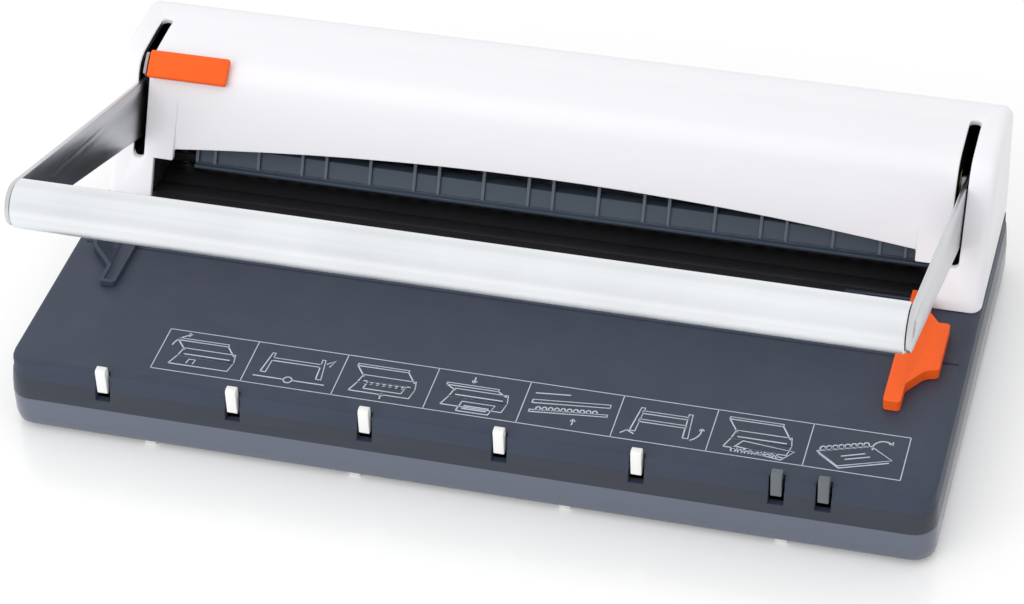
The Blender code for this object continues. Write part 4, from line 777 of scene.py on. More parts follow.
class Repeats:
    """Geometry node trees for what repeats on the machine or follows a path."""

    def __init__(self, shop: Workshop) -> None:
        """Builds the trees.

        Args:
            shop: Workshop that settles what they make.
        """
        self.shop = shop
        self.rows = self._rows()
        self.ribs = self._ribs()
        self.lines = self._lines()
        self.coil = self._coil()

    @staticmethod
    def _sheet(name: str) -> Sheet:
        """New geometry tree on a sheet, for a modifier.

        Args:
            name: Tree's name.

        Returns:
            The sheet that fills it.
        """
        sheet = Sheet(bpy.data.node_groups.new(name, "GeometryNodeTree"))
        sheet.tree.is_modifier = True
        return sheet

    @staticmethod
    def _copies(sheet: Sheet, points: Socket, shape: Socket, **more: object) -> Socket:
        """One shape at every point, all realized."""
        copies = sheet.add("GeometryNodeInstanceOnPoints",
                           {"Points": points, "Instance": shape, **more}).outputs[0]
        return sheet.add("GeometryNodeRealizeInstances", {0: copies}).outputs[0]

    @staticmethod
    def _end(sheet: Sheet, geometry: Socket, material: Socket) -> Tree:
        """Sets the material on what a tree has made, and ends the tree."""
        dressed = sheet.add("GeometryNodeSetMaterial", {"Geometry": geometry,
                                                        "Material": material})
        return sheet.gives("Geometry", Geometry=dressed.outputs[0])

    def _swept(self, sheet: Sheet, path: bpy.types.Node, section: bpy.types.Node,
               material: Socket) -> Tree:
        """Sweeps a section along a path, with closed ends, and ends the tree.

        Args:
            sheet: Sheet that fills the tree.
            path: Node that makes the path.
            section: Node that makes the section.
            material: Material to set.

        Returns:
            The finished tree.
        """
        solid = sheet.add("GeometryNodeCurveToMesh",
                          {"Curve": path.outputs[0], "Profile Curve": section.outputs[0],
                           "Fill Caps": True})
        return self._end(sheet, solid.outputs[0], material)

    def _rows(self) -> Tree:
        """Copies of one shape in columns and rows, every second one lifted if asked.

        Returns:
            Tree with inputs Columns, Step, Rows, RowStep, Lift and Material.
        """
        sheet = self._sheet("in_rows")
        given = sheet.takes(Geometry="Geometry", Columns="Int", Step="Vector", Rows="Int",
                            RowStep="Vector", Lift="Float", Material="Material")
        across, back = (sheet.add("GeometryNodeMeshLine", {"Count": given[count],
                                                           "Offset": given[step]}).outputs[0]
                        for count, step in (("Columns", "Step"), ("Rows", "RowStep")))
        odd = sheet.math("MODULO", sheet.add("GeometryNodeInputIndex").outputs[0], 2.0)
        lift = sheet.add("ShaderNodeCombineXYZ", {"Z": sheet.math("MULTIPLY", odd,
                                                                  given["Lift"])})
        lifted = sheet.add("GeometryNodeSetPosition", {"Geometry": across,
                                                       "Offset": lift.outputs[0]})
        spots = self._copies(sheet, back, lifted.outputs[0])
        return self._end(sheet, self._copies(sheet, spots, given["Geometry"]),
                         given["Material"])

    def _ribs(self) -> Tree:
        """A leaning rib at each point of the mesh it is given.

        Returns:
            Tree with inputs Size, Lean and Material.
        """
        sheet = self._sheet("ribs_at_points")
        given = sheet.takes(Geometry="Geometry", Size="Vector", Lean="Vector",
                            Material="Material")
        block = sheet.add("GeometryNodeMeshCube", {"Size": given["Size"]})
        turn = sheet.add("FunctionNodeEulerToRotation", {0: given["Lean"]})
        ribs = self._copies(sheet, given["Geometry"], block.outputs[0],
                            Rotation=turn.outputs[0])
        return self._end(sheet, ribs, given["Material"])

    def _lines(self) -> Tree:
        """A thin flat band along every chain of edges.

        Returns:
            Tree with inputs Width, Thickness and Material.
        """
        sheet = self._sheet("printed_bands")
        given = sheet.takes(Geometry="Geometry", Width="Float", Thickness="Float",
                            Material="Material")
        path = sheet.add("GeometryNodeMeshToCurve", {"Mesh": given["Geometry"]})
        section = sheet.add("GeometryNodeCurvePrimitiveQuadrilateral",
                            {"Width": given["Width"], "Height": given["Thickness"]})
        return self._swept(sheet, path, section, given["Material"])

    def _coil(self) -> Tree:
        """A round wire wound upwards from the object's origin.

        Returns:
            Tree with inputs Turns, Radius, Height, Wire and Material.
        """
        sheet = self._sheet("wound_wire")
        given = sheet.takes(Geometry="Geometry", Turns="Float", Radius="Float",
                            Height="Float", Wire="Float", Material="Material")
        path = sheet.add("GeometryNodeCurveSpiral",
                         {"Resolution": WIRE_STEPS, "Rotations": given["Turns"],
                          "Start Radius": given["Radius"], "End Radius": given["Radius"],
                          "Height": given["Height"], "Reverse": False})
        section = sheet.add("GeometryNodeCurvePrimitiveCircle",
                            {"Resolution": WIRE_SIDES, "Radius": given["Wire"]})
        return self._swept(sheet, path, section, given["Material"])

    def run(self, tree: Tree, name: str, mesh: Mesh,
            finish: Finish, **values: object) -> Item:
        """Runs one tree on a mesh and keeps the result as a plain mesh.

        Args:
            tree: Geometry node tree.
            name: New piece's name.
            mesh: Mesh that the tree starts from.
            finish: Finish that the tree sets.
            **values: Value of each named input.

        Returns:
            The new object.
        """
        item = self.shop.thing(name, mesh)
        modifier = item.modifiers.new(tree.name, "NODES")
        modifier.node_group = tree
        given = {**values, "Material": self.shop.material(finish)}
        for socket in tree.interface.items_tree:
            if socket.in_out == "INPUT" and socket.name in given:
                modifier[socket.identifier] = given[socket.name]
        return self.shop.settle(item)

    def in_rows(self, name: str, mesh: Mesh, finish: Finish, columns: int,
                step: Sequence[float], rows: int = 1,
                row_step: Sequence[float] = (0.0, 0.0, 0.0), lift: float = 0.0) -> Item:
        """Repeats a shape that stands at the first place, every second one lifted by lift."""
        return self.run(self.rows, name, mesh, finish, Columns=columns, Step=tuple(step),
                        Rows=rows, RowStep=tuple(row_step), Lift=lift)


def points_mesh(name: str, places: Sequence[Vector],
                edges: Sequence[tuple[int, int]] = ()) -> Mesh:
    """Mesh of points and the edges between them.

    Args:
        name: Mesh's name.
        places: Places of the points.
        edges: Numbers of the two points that each edge joins.

    Returns:
        The mesh.
    """
    mesh = bpy.data.meshes.new(name)
    mesh.from_pydata(list(places), list(edges), [])
    return mesh


def middle(node: str) -> Vector:
    """Middle of a frame node's box."""
    low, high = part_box(node)
    return (low + high) / 2


def numbered(stem: str, count: int) -> list[str]:
    """Names of the frame nodes of one stem, numbered from 1."""
    return [f"{stem}_{number}" for number in range(1, count + 1)]


@dataclass
class SubAssembly:
    """Anything that builds pieces in the workshop.

    Attributes:
        shop: Workshop that makes and dresses the pieces.
        repeats: Node trees for what repeats.
    """

    shop: Workshop
    repeats: Repeats

    @property
    def palette(self) -> Palette:
        """All finishes."""
        return self.shop.palette

    def build(self) -> None:
        """Builds every piece of the sub-assembly."""
        raise NotImplementedError

    def screws(self, name: str, nodes: Sequence[str], columns: int) -> None:
        """Stands cross-headed screws in for nodes that lie in a grid.

        Args:
            name: Piece's name.
            nodes: Frame nodes in the grid's order, a row at a time.
            columns: Screws in a row.
        """
        low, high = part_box(nodes[0])
        first = middle(nodes[0])
        step = middle(nodes[1]) - first
        rows = len(nodes) // columns
        row_step = middle(nodes[columns]) - first if rows > 1 else Vector()
        seat = Vector((first.x, first.y, low.z))
        mesh = CrossScrew().mesh(name, seat, Vector((0, 0, 1)), high.z - low.z)
        item = self.repeats.in_rows(name, mesh, self.palette.steel, columns, step, rows,
                                    row_step)
        self.shop.finish(item, self.palette.steel, "root", nodes)


@dataclass
class CrossScrew:
    """Screw with a cross recess, in a pan-headed or a countersunk form.

    Attributes:
        shank: Shank's radius.
        head: Head's radius.
        rise: Pan head's height.
        crown: Pan head's rings, as shares of its radius and height.
        sink: Countersunk head's height.
        arm: Half length of the recess.
        web: Half width of the recess.
        taper: Size of the recess at its floor over that at its rim.
        recess: Depth of the recess.
        tip: Length of the pointed end.
        point: Its last radius over the shank's.
        turns: Half the sides of a ring.
    """

    shank: float = 1.5 * MM
    head: float = 3.0 * MM
    rise: float = 1.2 * MM
    crown: tuple[Point, ...] = ((0.78, 0.0), (0.93, 0.22), (1.0, 0.6), (1.0, 1.0))
    sink: float = 1.3 * MM
    arm: float = 1.55 * MM
    web: float = 0.36 * MM
    taper: float = 0.8
    recess: float = 0.7 * MM
    tip: float = 1.5 * MM
    point: float = 0.25
    turns: int = 12

    def profile(self, length: float, sunk: bool) -> list[Point]:
        """Rings of the screw's body, from the head's face to the tip.

        Args:
            length: From the head's face to the tip.
            sunk: Whether the head is countersunk.

        Returns:
            Radius and lift of each ring.
        """
        end = [(self.shank, length - self.tip), (self.shank * self.point, length)]
        if sunk:
            return [(self.head - HAIR, 0.0), (self.head, HAIR), (self.shank, self.sink), *end]
        return [*((self.head * radius, self.rise * lift) for radius, lift in self.crown),
                (self.shank, self.rise), *end]

    def mesh(self, name: str, face: Vector, axis: Vector, length: float,
             sunk: bool = False) -> Mesh:
        """Mesh of the screw.

        Args:
            name: Mesh's name.
            face: Middle of the head's face.
            axis: Direction from the head to the tip.
            length: From the head's face to the tip.
            sunk: Whether the head is countersunk.

        Returns:
            The mesh.
        """
        along, across, beside = axes(axis)
        cross = [(self.arm, -self.web), (self.arm, self.web), (self.web, self.web)]
        quarters = [FULL_TURN * number / 4 for number in range(4)]
        corners = [(x * math.cos(turn) - y * math.sin(turn),
                    x * math.sin(turn) + y * math.cos(turn))
                   for turn in quarters for x, y in cross]

        def at(x: float, y: float, lift: float) -> Vector:
            """Place of a point of the screw."""
            return face + across * x + beside * y + along * lift

        def fill(work: Work) -> None:
            """Adds the head's face with its recess, the rings and the tip.

            Args:
                work: Bmesh to add to.
            """
            sides = 2 * self.turns
            angles = [FULL_TURN * (step - 1) / sides for step in range(sides)]
            rings = [ring(work, [at(radius * math.cos(a), radius * math.sin(a), lift)
                                 for a in angles])
                     for radius, lift in self.profile(length, sunk)]
            for lower, upper in zip(rings, rings[1:]):
                bridge(work, lower, upper)
            work.faces.new(rings[-1])
            rim = ring(work, [at(x, y, 0.0) for x, y in corners])
            floor = ring(work, [at(x * self.taper, y * self.taper, self.recess)
                                for x, y in corners])
            bridge(work, rim, floor)
            work.faces.new(floor)
            outer = rings[0]
            for index in range(self.turns):
                after = (index + 1) % self.turns
                work.faces.new((rim[index], rim[after], outer[(2 * index + 2) % sides],
                                outer[2 * index + 1], outer[2 * index]))
        return fresh(name, fill)


@dataclass
class Base(SubAssembly):
    """Moulded base with its bottom plate, feet, pads, pegs and screws.

    Attributes:
        bands: Height of the lower band, lightened with painted reflection, and of the band
            over it, darkened with painted shade, from the base's foot.
        upright: Rise of a face's normal under which it counts as upright.
        soft: Width of the soft edges.
        peg_soft: Width of the pegs' soft edges.
        foot_groove: Depth of the feet's sunk middle.
        foot_land: Width of the ring round it.
        foot_rim: From that ring to the foot's edge.
        foot_sides: Sides of a foot.
    """

    bands: Point = (14.0 * MM, 22.2 * MM)
    upright: float = 0.6
    soft: float = 0.4 * MM
    peg_soft: float = 0.3 * MM
    foot_groove: float = 0.35 * MM
    foot_land: float = 2.8 * MM
    foot_rim: float = 1.0 * MM
    foot_sides: int = 48

    def build(self) -> None:
        """Builds the base's pieces."""
        colours = self.palette
        base = self.shop.refine("base_shell", "moulded_base", self.soft, colours.slate)
        self.mark_bands(base.data)
        self.shop.refine("bottom_plate", "underside_plate", self.soft / 2, colours.slate)
        self.feet()
        self.row("small_front_feet", numbered("front_pad", 4), colours.pale_rubber)
        pegs = numbered("wire_peg", 7)
        self.row("white_wire_pegs", pegs[:5], colours.white_peg, self.peg_soft)
        self.row("grey_wire_pegs", pegs[5:], colours.grey_peg, self.peg_soft)
        self.screws("underside_screws", numbered("bottom_screw", 4), 2)
        self.screws("frame_foot_screws", numbered("frame_screw", 4), 2)
        self.screws("cover_fixing_screws", numbered("cover_screw", 4), 4)

    def mark_bands(self, mesh: Mesh) -> None:
        """Marks the glossy lower band round the base, lightened with painted reflection, and
        the band over it, darkened with painted shade of the groove under the lip.

        Args:
            mesh: Base's mesh.
        """
        foot = min(vertex.co.z for vertex in mesh.vertices)
        lower, upper = (foot + height for height in self.bands)
        polished, sunk = (mesh.attributes.new(name, "FLOAT", "FACE").data
                          for name in ("glossy_band_painted_sheen", "sunk_band_painted_shade"))
        # Upright faces low on the base get painted reflection, and those just under the lip
        # get painted shade.
        for face in mesh.polygons:
            if abs(face.normal.z) < self.upright and face.center.z < upper:
                mark = polished if face.center.z < lower else sunk
                mark[face.index].value = 1.0

    def feet(self) -> None:
        """Round rubber feet with a sunk middle."""
        nodes = ["rubber_foot_left", "rubber_foot_right"]
        low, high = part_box(nodes[0])
        centre = middle(nodes[0])
        radius, height = (high.x - low.x) / 2, high.z - low.z
        flat, groove = radius - self.foot_rim, self.foot_groove
        profile = [(0.0, groove), (flat - self.foot_land, groove),
                   (flat - self.foot_land + groove, 0.0), (flat, 0.0),
                   (flat + groove, groove), (radius, height), (0.0, height)]
        mesh = lathe("round_feet", profile, Vector((0, 0, 1)),
                     Vector((centre.x, centre.y, low.z)), self.foot_sides)
        item = self.repeats.in_rows("round_feet", mesh, self.palette.rubber, 2,
                                    middle(nodes[1]) - centre)
        self.shop.finish(item, self.palette.rubber, "root", nodes)

    def row(self, name: str, nodes: Sequence[str], finish: Finish, soft: float = 0.0) -> None:
        """Stands copies of the first of some nodes in for all of them.

        Args:
            name: Piece's name.
            nodes: Frame nodes, evenly spaced.
            finish: Their finish.
            soft: Width of their soft edges, none where the node's own will do.
        """
        first = self.shop.copied(nodes[0], "first_of_row")
        if soft:
            self.shop.soften(first, soft, segments=3)
            self.shop.settle(first)
        item = self.repeats.in_rows(name, first.data, finish, len(nodes),
                                    middle(nodes[1]) - middle(nodes[0]))
        bpy.data.objects.remove(first)
        self.shop.finish(item, finish, "root", nodes)


class Pen:
    """Draws simple lines in one box of the printed strip, in millimetres.

    Attributes:
        least_steps: Fewest steps of an arc.
        step_angle: Degrees of an arc to one step.
        barb: Degrees from an arrow's way to each side of its head.
        loop_start: Degrees that a wire loop starts at.
        loop_end: Degrees that it ends at.
        loop_flat: Its height over its width.
        strokes: Chains of points that are drawn so far.
    """

    least_steps = 6
    step_angle = 15
    barb = 150
    loop_start = -60
    loop_end = 240
    loop_flat = 1.3

    def __init__(self) -> None:
        """Starts with no strokes."""
        self.strokes: list[Stroke] = []

    def line(self, *points: Point) -> None:
        """Adds a chain of straight lines."""
        self.strokes.append(list(points))

    def loop(self, *points: Point) -> None:
        """Adds a closed chain of straight lines."""
        self.strokes.append([*points, points[0]])

    def bar(self, first: Point, last: Point, gap: float = 1.2) -> None:
        """Adds a bar drawn as two long lines, a gap apart, with closed ends."""
        self.loop(first, last, (last[0], last[1] + gap), (first[0], first[1] + gap))

    def arc(self, centre: Point, radius: float, start: float, end: float,
            flat: float = 1.0) -> Point:
        """Adds an arc.

        Args:
            centre: Its centre.
            radius: Its radius.
            start: Angle in degrees that it starts at.
            end: Angle in degrees that it ends at.
            flat: Height of the ellipse over its width.

        Returns:
            Where it ends.
        """
        count = max(self.least_steps, int(abs(end - start) / self.step_angle))
        points = []
        for step in range(count + 1):
            angle = (start + (end - start) * step / count) * DEG
            points.append((centre[0] + radius * math.cos(angle),
                           centre[1] + radius * flat * math.sin(angle)))
        self.strokes.append(points)
        return points[-1]

    def head(self, tip: Point, way: float, size: float = 1.8) -> None:
        """Adds an arrow's head.

        Args:
            tip: Its point.
            way: Angle in degrees that it points to.
            size: Length of each side.
        """
        wings = []
        for side in (self.barb, -self.barb):
            angle = (way + side) * DEG
            wings.append((tip[0] + size * math.cos(angle), tip[1] + size * math.sin(angle)))
        self.line(wings[0], tip, wings[1])

    def loops(self, start: Point, step: Point, count: int, radius: float = 0.8) -> None:
        """Adds a row of small wire loops.

        Args:
            start: Middle of the first loop.
            step: From one loop to the next.
            count: Number of loops.
            radius: Radius of each.
        """
        for number in range(count):
            place = (start[0] + step[0] * number, start[1] + step[1] * number)
            self.arc(place, radius, self.loop_start, self.loop_end, self.loop_flat)

    def machine(self, lift: float) -> None:
        """Adds a small view of a binding machine.

        Args:
            lift: Height of the handle's bar.
        """
        self.loop((5.5, 4), (28.5, 4), (29.5, 9), (7.5, 9))
        self.loop((7.5, 9), (29.5, 9), (28.8, 13.5), (8.5, 13.5))
        self.line((9.5, 10.2), (27.5, 10.2))
        self.line((9, 12.5), (5, lift))
        self.line((28.4, 12.5), (24.6, lift))
        self.bar((5, lift), (24.6, lift))


@dataclass
class InstructionStrip(SubAssembly):
    """Row of small line drawings printed on the paper table's front.

    Attributes:
        left: Strip's left end.
        width: Width of one drawing's box.
        depth: Depth of the boxes.
        front: Front line of the boxes, from the base's front.
        border: Width of the boxes' lines.
        stroke: Width of the drawings' lines.
        film: Thickness of the print.
    """

    left: float = -120 * MM
    width: float = 35.04 * MM
    depth: float = 23 * MM
    front: float = 11.2 * MM
    border: float = 0.36 * MM
    stroke: float = 0.55 * MM
    film: float = 0.04 * MM

    def drawings(self) -> list[Pen]:
        """The eight drawings, each a step of binding a book.

        Returns:
            One pen for each box.
        """
        pens = [Pen() for _ in range(8)]
        one, two, three, four, five, six, seven, eight = pens
        one.machine(17.5)
        one.head(one.arc((11.5, 13.5), 8, 175, 105), 10)
        one.line((12, 5.2), (12.5, 7.6), (15, 7.6), (14.6, 5.2))
        two.loop((5.5, 7), (7.5, 7), (8.2, 18), (7, 18))
        two.loop((27, 7), (29, 7), (27.6, 18), (26.4, 18))
        two.bar((8, 13.8), (26.6, 13.8), 1.6)
        two.line((3.5, 4.4), (15.4, 4.4))
        two.arc((17, 4.4), 1.6, 0, 360)
        two.line((18.6, 4.4), (31, 4.4))
        two.line((28.5, 16), (31.5, 18.5), (30, 14.6))
        three.machine(18)
        three.loop((10.5, 6), (25, 6), (26, 10.2), (11.2, 10.2))
        for number in range(6):
            three.arc((12.8 + 2.4 * number, 9.2), 0.45, 0, 360)
        three.line((18, 1.6), (18, 5))
        three.head((18, 5), 90)
        four.machine(15)
        four.line((14.5, 21), (14.5, 17.4))
        four.head((14.5, 17.4), -90)
        four.loop((12, 1.6), (24, 1.6), (25.5, 7), (13, 7))
        four.line((13.8, 3.2), (23, 3.2))
        four.line((14.2, 4.8), (23.6, 4.8))
        five.bar((3, 12), (31.5, 15), 1.8)
        five.bar((3, 7), (31.5, 10), 1.2)
        five.loops((6, 9.2), (2.3, 0.24), 10)
        five.line((3, 17.5), (16, 18.9))
        five.line((20, 3), (20, 6.6))
        five.head((20, 6.6), 90)
        six.loop((6, 5), (8, 5), (9, 18), (7.6, 18))
        six.loop((25.5, 5), (27.5, 5), (26.6, 18), (25.2, 18))
        six.bar((8.6, 15), (25.4, 15), 1.4)
        six.bar((8.2, 10.4), (25.6, 10.4), 1.4)
        six.line((3, 3), (5, 5), (8, 3.4))
        six.head(six.arc((25, 10), 6.5, -60, 15), 100)
        seven.machine(19)
        seven.loops((9.5, 3), (2.5, 0), 7, 0.9)
        seven.loop((9, 3.8), (27, 1.2), (31, 6.4), (12, 8.4))
        seven.line((10, 5), (27.8, 2.4))
        eight.loop((3.5, 9), (22, 15.5), (30.5, 9.5), (12, 2.6))
        eight.line((4.5, 7.8), (12.6, 1.6), (29.6, 8))
        eight.loops((5.5, 10.6), (2.1, 0.74), 8, 1)
        eight.line((14, 6.6), (22.5, 9.8))
        eight.line((12.4, 8), (20.6, 11.2))
        eight.head(eight.arc((26.5, 15), 4, 200, 40), -50)
        return pens

    def flat(self, name: str, strokes: Sequence[Stroke], width: float) -> None:
        """Prints strokes on the table as thin bands.

        Args:
            name: Piece's name.
            strokes: Chains of points in metres, from the strip's left front corner.
            width: Width of the bands.
        """
        low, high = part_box("base_shell")
        corner = Vector((self.left, low.y + self.front, high.z + self.film / 2))
        points: list[Vector] = []
        edges: list[tuple[int, int]] = []
        for stroke in strokes:
            edges += [(len(points) + index, len(points) + index + 1)
                      for index in range(len(stroke) - 1)]
            points += [corner + Vector((*point, 0.0)) for point in stroke]
        item = self.repeats.run(self.repeats.lines, name, points_mesh(name, points, edges),
                                self.palette.ink, Width=width, Thickness=self.film)
        self.shop.dress(item, self.palette.ink)
        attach(item, "root")
        LOG.info("%s: %d strokes", name, len(strokes))

    def build(self) -> None:
        """Builds the boxes and the drawings in them."""
        pens = self.drawings()
        end = self.width * len(pens)
        boxes = [[(0.0, 0.0), (end, 0.0)], [(0.0, self.depth), (end, self.depth)]]
        boxes += [[(self.width * number, 0.0), (self.width * number, self.depth)]
                  for number in range(len(pens) + 1)]
        strokes = [[(self.width * number + x * MM, y * MM) for x, y in stroke]
                   for number, pen in enumerate(pens) for stroke in pen.strokes]
        self.flat("printed_boxes", boxes, self.border)
        self.flat("printed_drawings", strokes, self.stroke)


@dataclass
class Cover(SubAssembly):
    """White cover over the mechanism.

    Attributes:
        soft: Width of the soft edges.
        sliver: Edges shorter than this are drawn together.
        skin: Depth under the outline from which a face counts as inside and takes dark painted
            shade.
    """

    soft: float = 0.5 * MM
    sliver: float = 0.1 * MM
    skin: float = 2.2 * MM

    def build(self) -> None:
        """Builds the cover."""
        item = self.shop.refine("cover_shell", "moulded_cover", self.soft, self.palette.white,
                                segments=3, collapse=self.sliver)
        self.mark_inside_painted_shade(item.data)

    def mark_inside_painted_shade(self, mesh: Mesh) -> None:
        """Marks the faces deep under the cover's outline, coloured dark red-brown as painted
        shade where the slots look in.

        Args:
            mesh: Cover's mesh.
        """
        side = [Vector((vertex.co.y, vertex.co.z)) for vertex in mesh.vertices]
        hull = [side[index] for index in geometry.convex_hull_2d(side)]
        end = max(vertex.co.x for vertex in mesh.vertices)
        edges = [(first, (second - first).normalized())
                 for first, second in zip(hull, hull[1:] + hull[:1])
                 if (second - first).length > HAIR]
        floor = min(point.y for point in hull)
        walls = [(start, Vector((-along.y, along.x))) for start, along in edges
                 if min(start.y, (start + along * MM).y) > floor + HAIR]
        marks = mesh.attributes.new("inside", "FLOAT", "FACE")
        for face, mark in zip(mesh.polygons, marks.data):
            spot = Vector((face.center.y, face.center.z))
            depths = [abs((spot - start).dot(square)) for start, square in walls]
            # Faces deeper than the skin get the painted shade.
            mark.value = float(min(*depths, end - abs(face.center.x)) > self.skin)


@dataclass
class Bed(SubAssembly):
    """What stands fixed in the throat: anvil, die, stop, guide, posts, frames and bushes.

    Attributes:
        lip: Depth of the thin sheet of painted shadow on the table in front of the anvil,
            before the sliding guide's slot.
        shadow_strip_behind: Its depth behind that slot.
        shadow_strip_thick: Its thickness.
        slot_start: Where it stops short of the slot.
        end_in: Its ends in from the anvil's ends.
        soft: Width of the soft edges.
    """

    lip: float = 6.6 * MM
    shadow_strip_behind: float = 1.9 * MM
    shadow_strip_thick: float = 0.06 * MM
    slot_start: float = 122 * MM
    end_in: float = 1.2 * MM
    soft: float = 0.3 * MM

    def build(self) -> None:
        """Builds the fixed pieces of the mechanism."""
        self.lay_painted_shadow_strip()
        # These pieces take the very dark finish, painted shade for the deep throat.
        black = self.palette.black
        for node, name in (("closing_anvil", "lower_closing_bar"), ("die_block", "punch_die"),
                           ("punch_guide", "pin_guide"), ("paper_stop", "paper_back_stop"),
                           ("side_frame_left", "left_frame"),
                           ("side_frame_right", "right_frame")):
            self.shop.refine(node, name, self.soft, black)
        for side in ("left", "right"):
            self.shop.refine(f"guide_post_{side}", f"{side}_post", self.soft,
                             self.palette.steel)
            self.shop.refine(f"shaft_bush_{side}", f"{side}_bush", self.soft,
                             self.palette.bronze)

    def lay_painted_shadow_strip(self) -> None:
        """Thin dark sheet on the table's edge in front of the anvil: painted shadow where the
        cover and the bar shade the throat's front.
        """
        low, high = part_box("closing_anvil")
        half, foot, back = high.x - self.end_in, high.z, low.y
        front, step = back - self.lip, back - self.shadow_strip_behind
        outline = [(-half, front), (self.slot_start, front), (self.slot_start, step),
                   (half, step), (half, back), (-half, back)]
        # A dark sheet a hair thick, painted shadow under the cover and the bar.
        mesh = slab("anvil_painted_shadow_strip", *([Vector((*point, height)) for point in outline]
                                         for height in (foot, foot + self.shadow_strip_thick)))
        item = self.shop.thing("anvil_painted_shadow_strip", mesh)
        self.shop.finish(item, self.palette.black, "root")


@dataclass
class Springs(SubAssembly):
    """Coil springs that lift the ram, which stretch between the frame and the ram.

    Attributes:
        coil: Radius to the middle of the wire.
        wire: Wire's radius.
        turns: Turns of each spring.
    """

    coil: float = 3.2 * MM
    wire: float = 0.47 * MM
    turns: float = 6.0

    def build(self) -> None:
        """Builds both springs."""
        for side in ("left", "right"):
            node = f"ram_spring_{side}"
            low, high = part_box(node)
            height = high.z - low.z - 2 * self.wire
            seat = Vector((middle(node).x, middle(node).y, low.z + self.wire))
            item = self.repeats.run(self.repeats.coil, f"{side}_ram_spring",
                                    points_mesh("coil", [Vector()]), self.palette.steel,
                                    Turns=self.turns, Radius=self.coil, Height=height,
                                    Wire=self.wire)
            item.data.transform(Matrix.Translation(seat))
            item.data.shade_smooth()
            self.shop.dress(item, self.palette.steel)
            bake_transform(item)
            self.palette.steel.slot
            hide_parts(node)
            LOG.info("%s: %d faces", item.name, len(item.data.polygons))


@dataclass
class Handle(SubAssembly):
    """Wide handle: bar, arms, shaft, nuts, cams and screws.

    Attributes:
        chamfer: Chamfer at the bar's ends.
        bore: Radius of the screw holes in the bar.
        bore_depth: Their depth.
        sides: Sides of the bar.
        soft: Soft edges of the arms.
    """

    chamfer: float = 0.5 * MM
    bore: float = 1.8 * MM
    bore_depth: float = 12.9 * MM
    sides: int = 96
    soft: float = 0.4 * MM

    def build(self) -> None:
        """Builds the handle's pieces."""
        self.bar()
        colours = self.palette
        for side in ("left", "right"):
            self.shop.refine(f"handle_arm_{side}", f"{side}_arm", self.soft,
                             colours.polished, "handle", segments=3)
            self.shop.refine(f"shaft_nut_{side}", f"{side}_nut", self.soft / 2, colours.steel,
                             "handle")
            self.shop.refine(f"eccentric_cam_{side}", f"{side}_cam", self.soft,
                             colours.steel, "handle")
            self.end_screw(side)
        self.shop.refine("handle_shaft", "cross_shaft", self.soft / 2, colours.steel,
                         "handle")

    def bar(self) -> None:
        """Drawn round bar with a screw hole in each end."""
        low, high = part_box("handle_bar")
        radius = (high.z - low.z) / 2
        length = high.x - low.x
        start = Vector((low.x, middle("handle_bar").y, middle("handle_bar").z))
        near = [(0.0, self.bore_depth), (self.bore, self.bore_depth), (self.bore, 0.0),
                (radius - self.chamfer, 0.0), (radius, self.chamfer)]
        profile = near + [(size, length - lift) for size, lift in reversed(near)]
        mesh = lathe("drawn_bar", profile, Vector((1, 0, 0)), start, self.sides)
        item = self.shop.thing("drawn_bar", mesh)
        self.shop.finish(item, self.palette.aluminium, "handle", ["handle_bar"])

    def end_screw(self, side: str) -> None:
        """Countersunk screw through one arm into the bar.

        Args:
            side: left or right.
        """
        node = f"handle_screw_{side}"
        low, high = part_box(node)
        sign = -1 if side == "left" else 1
        face = Vector((high.x if sign > 0 else low.x, middle(node).y, middle(node).z))
        mesh = CrossScrew().mesh(f"{side}_end_screw", face, Vector((-sign, 0, 0)),
                                 high.x - low.x, sunk=True)
        item = self.shop.thing(f"{side}_end_screw", mesh)
        self.shop.finish(item, self.palette.steel, "handle", [node])


@dataclass
class Selector(SubAssembly):
    """Wire size selector: orange tab on its steel blade."""

    soft: float = 0.2 * MM

    def build(self) -> None:
        """Builds the selector, whose tab's node has soft edges of its own."""
        self.shop.refine("selector_lever", "selector_blade", self.soft, self.palette.steel,
                         "selector")
        self.shop.refine("selector_tab", "selector_finger_tab", 0.0, self.palette.orange,
                         "selector")


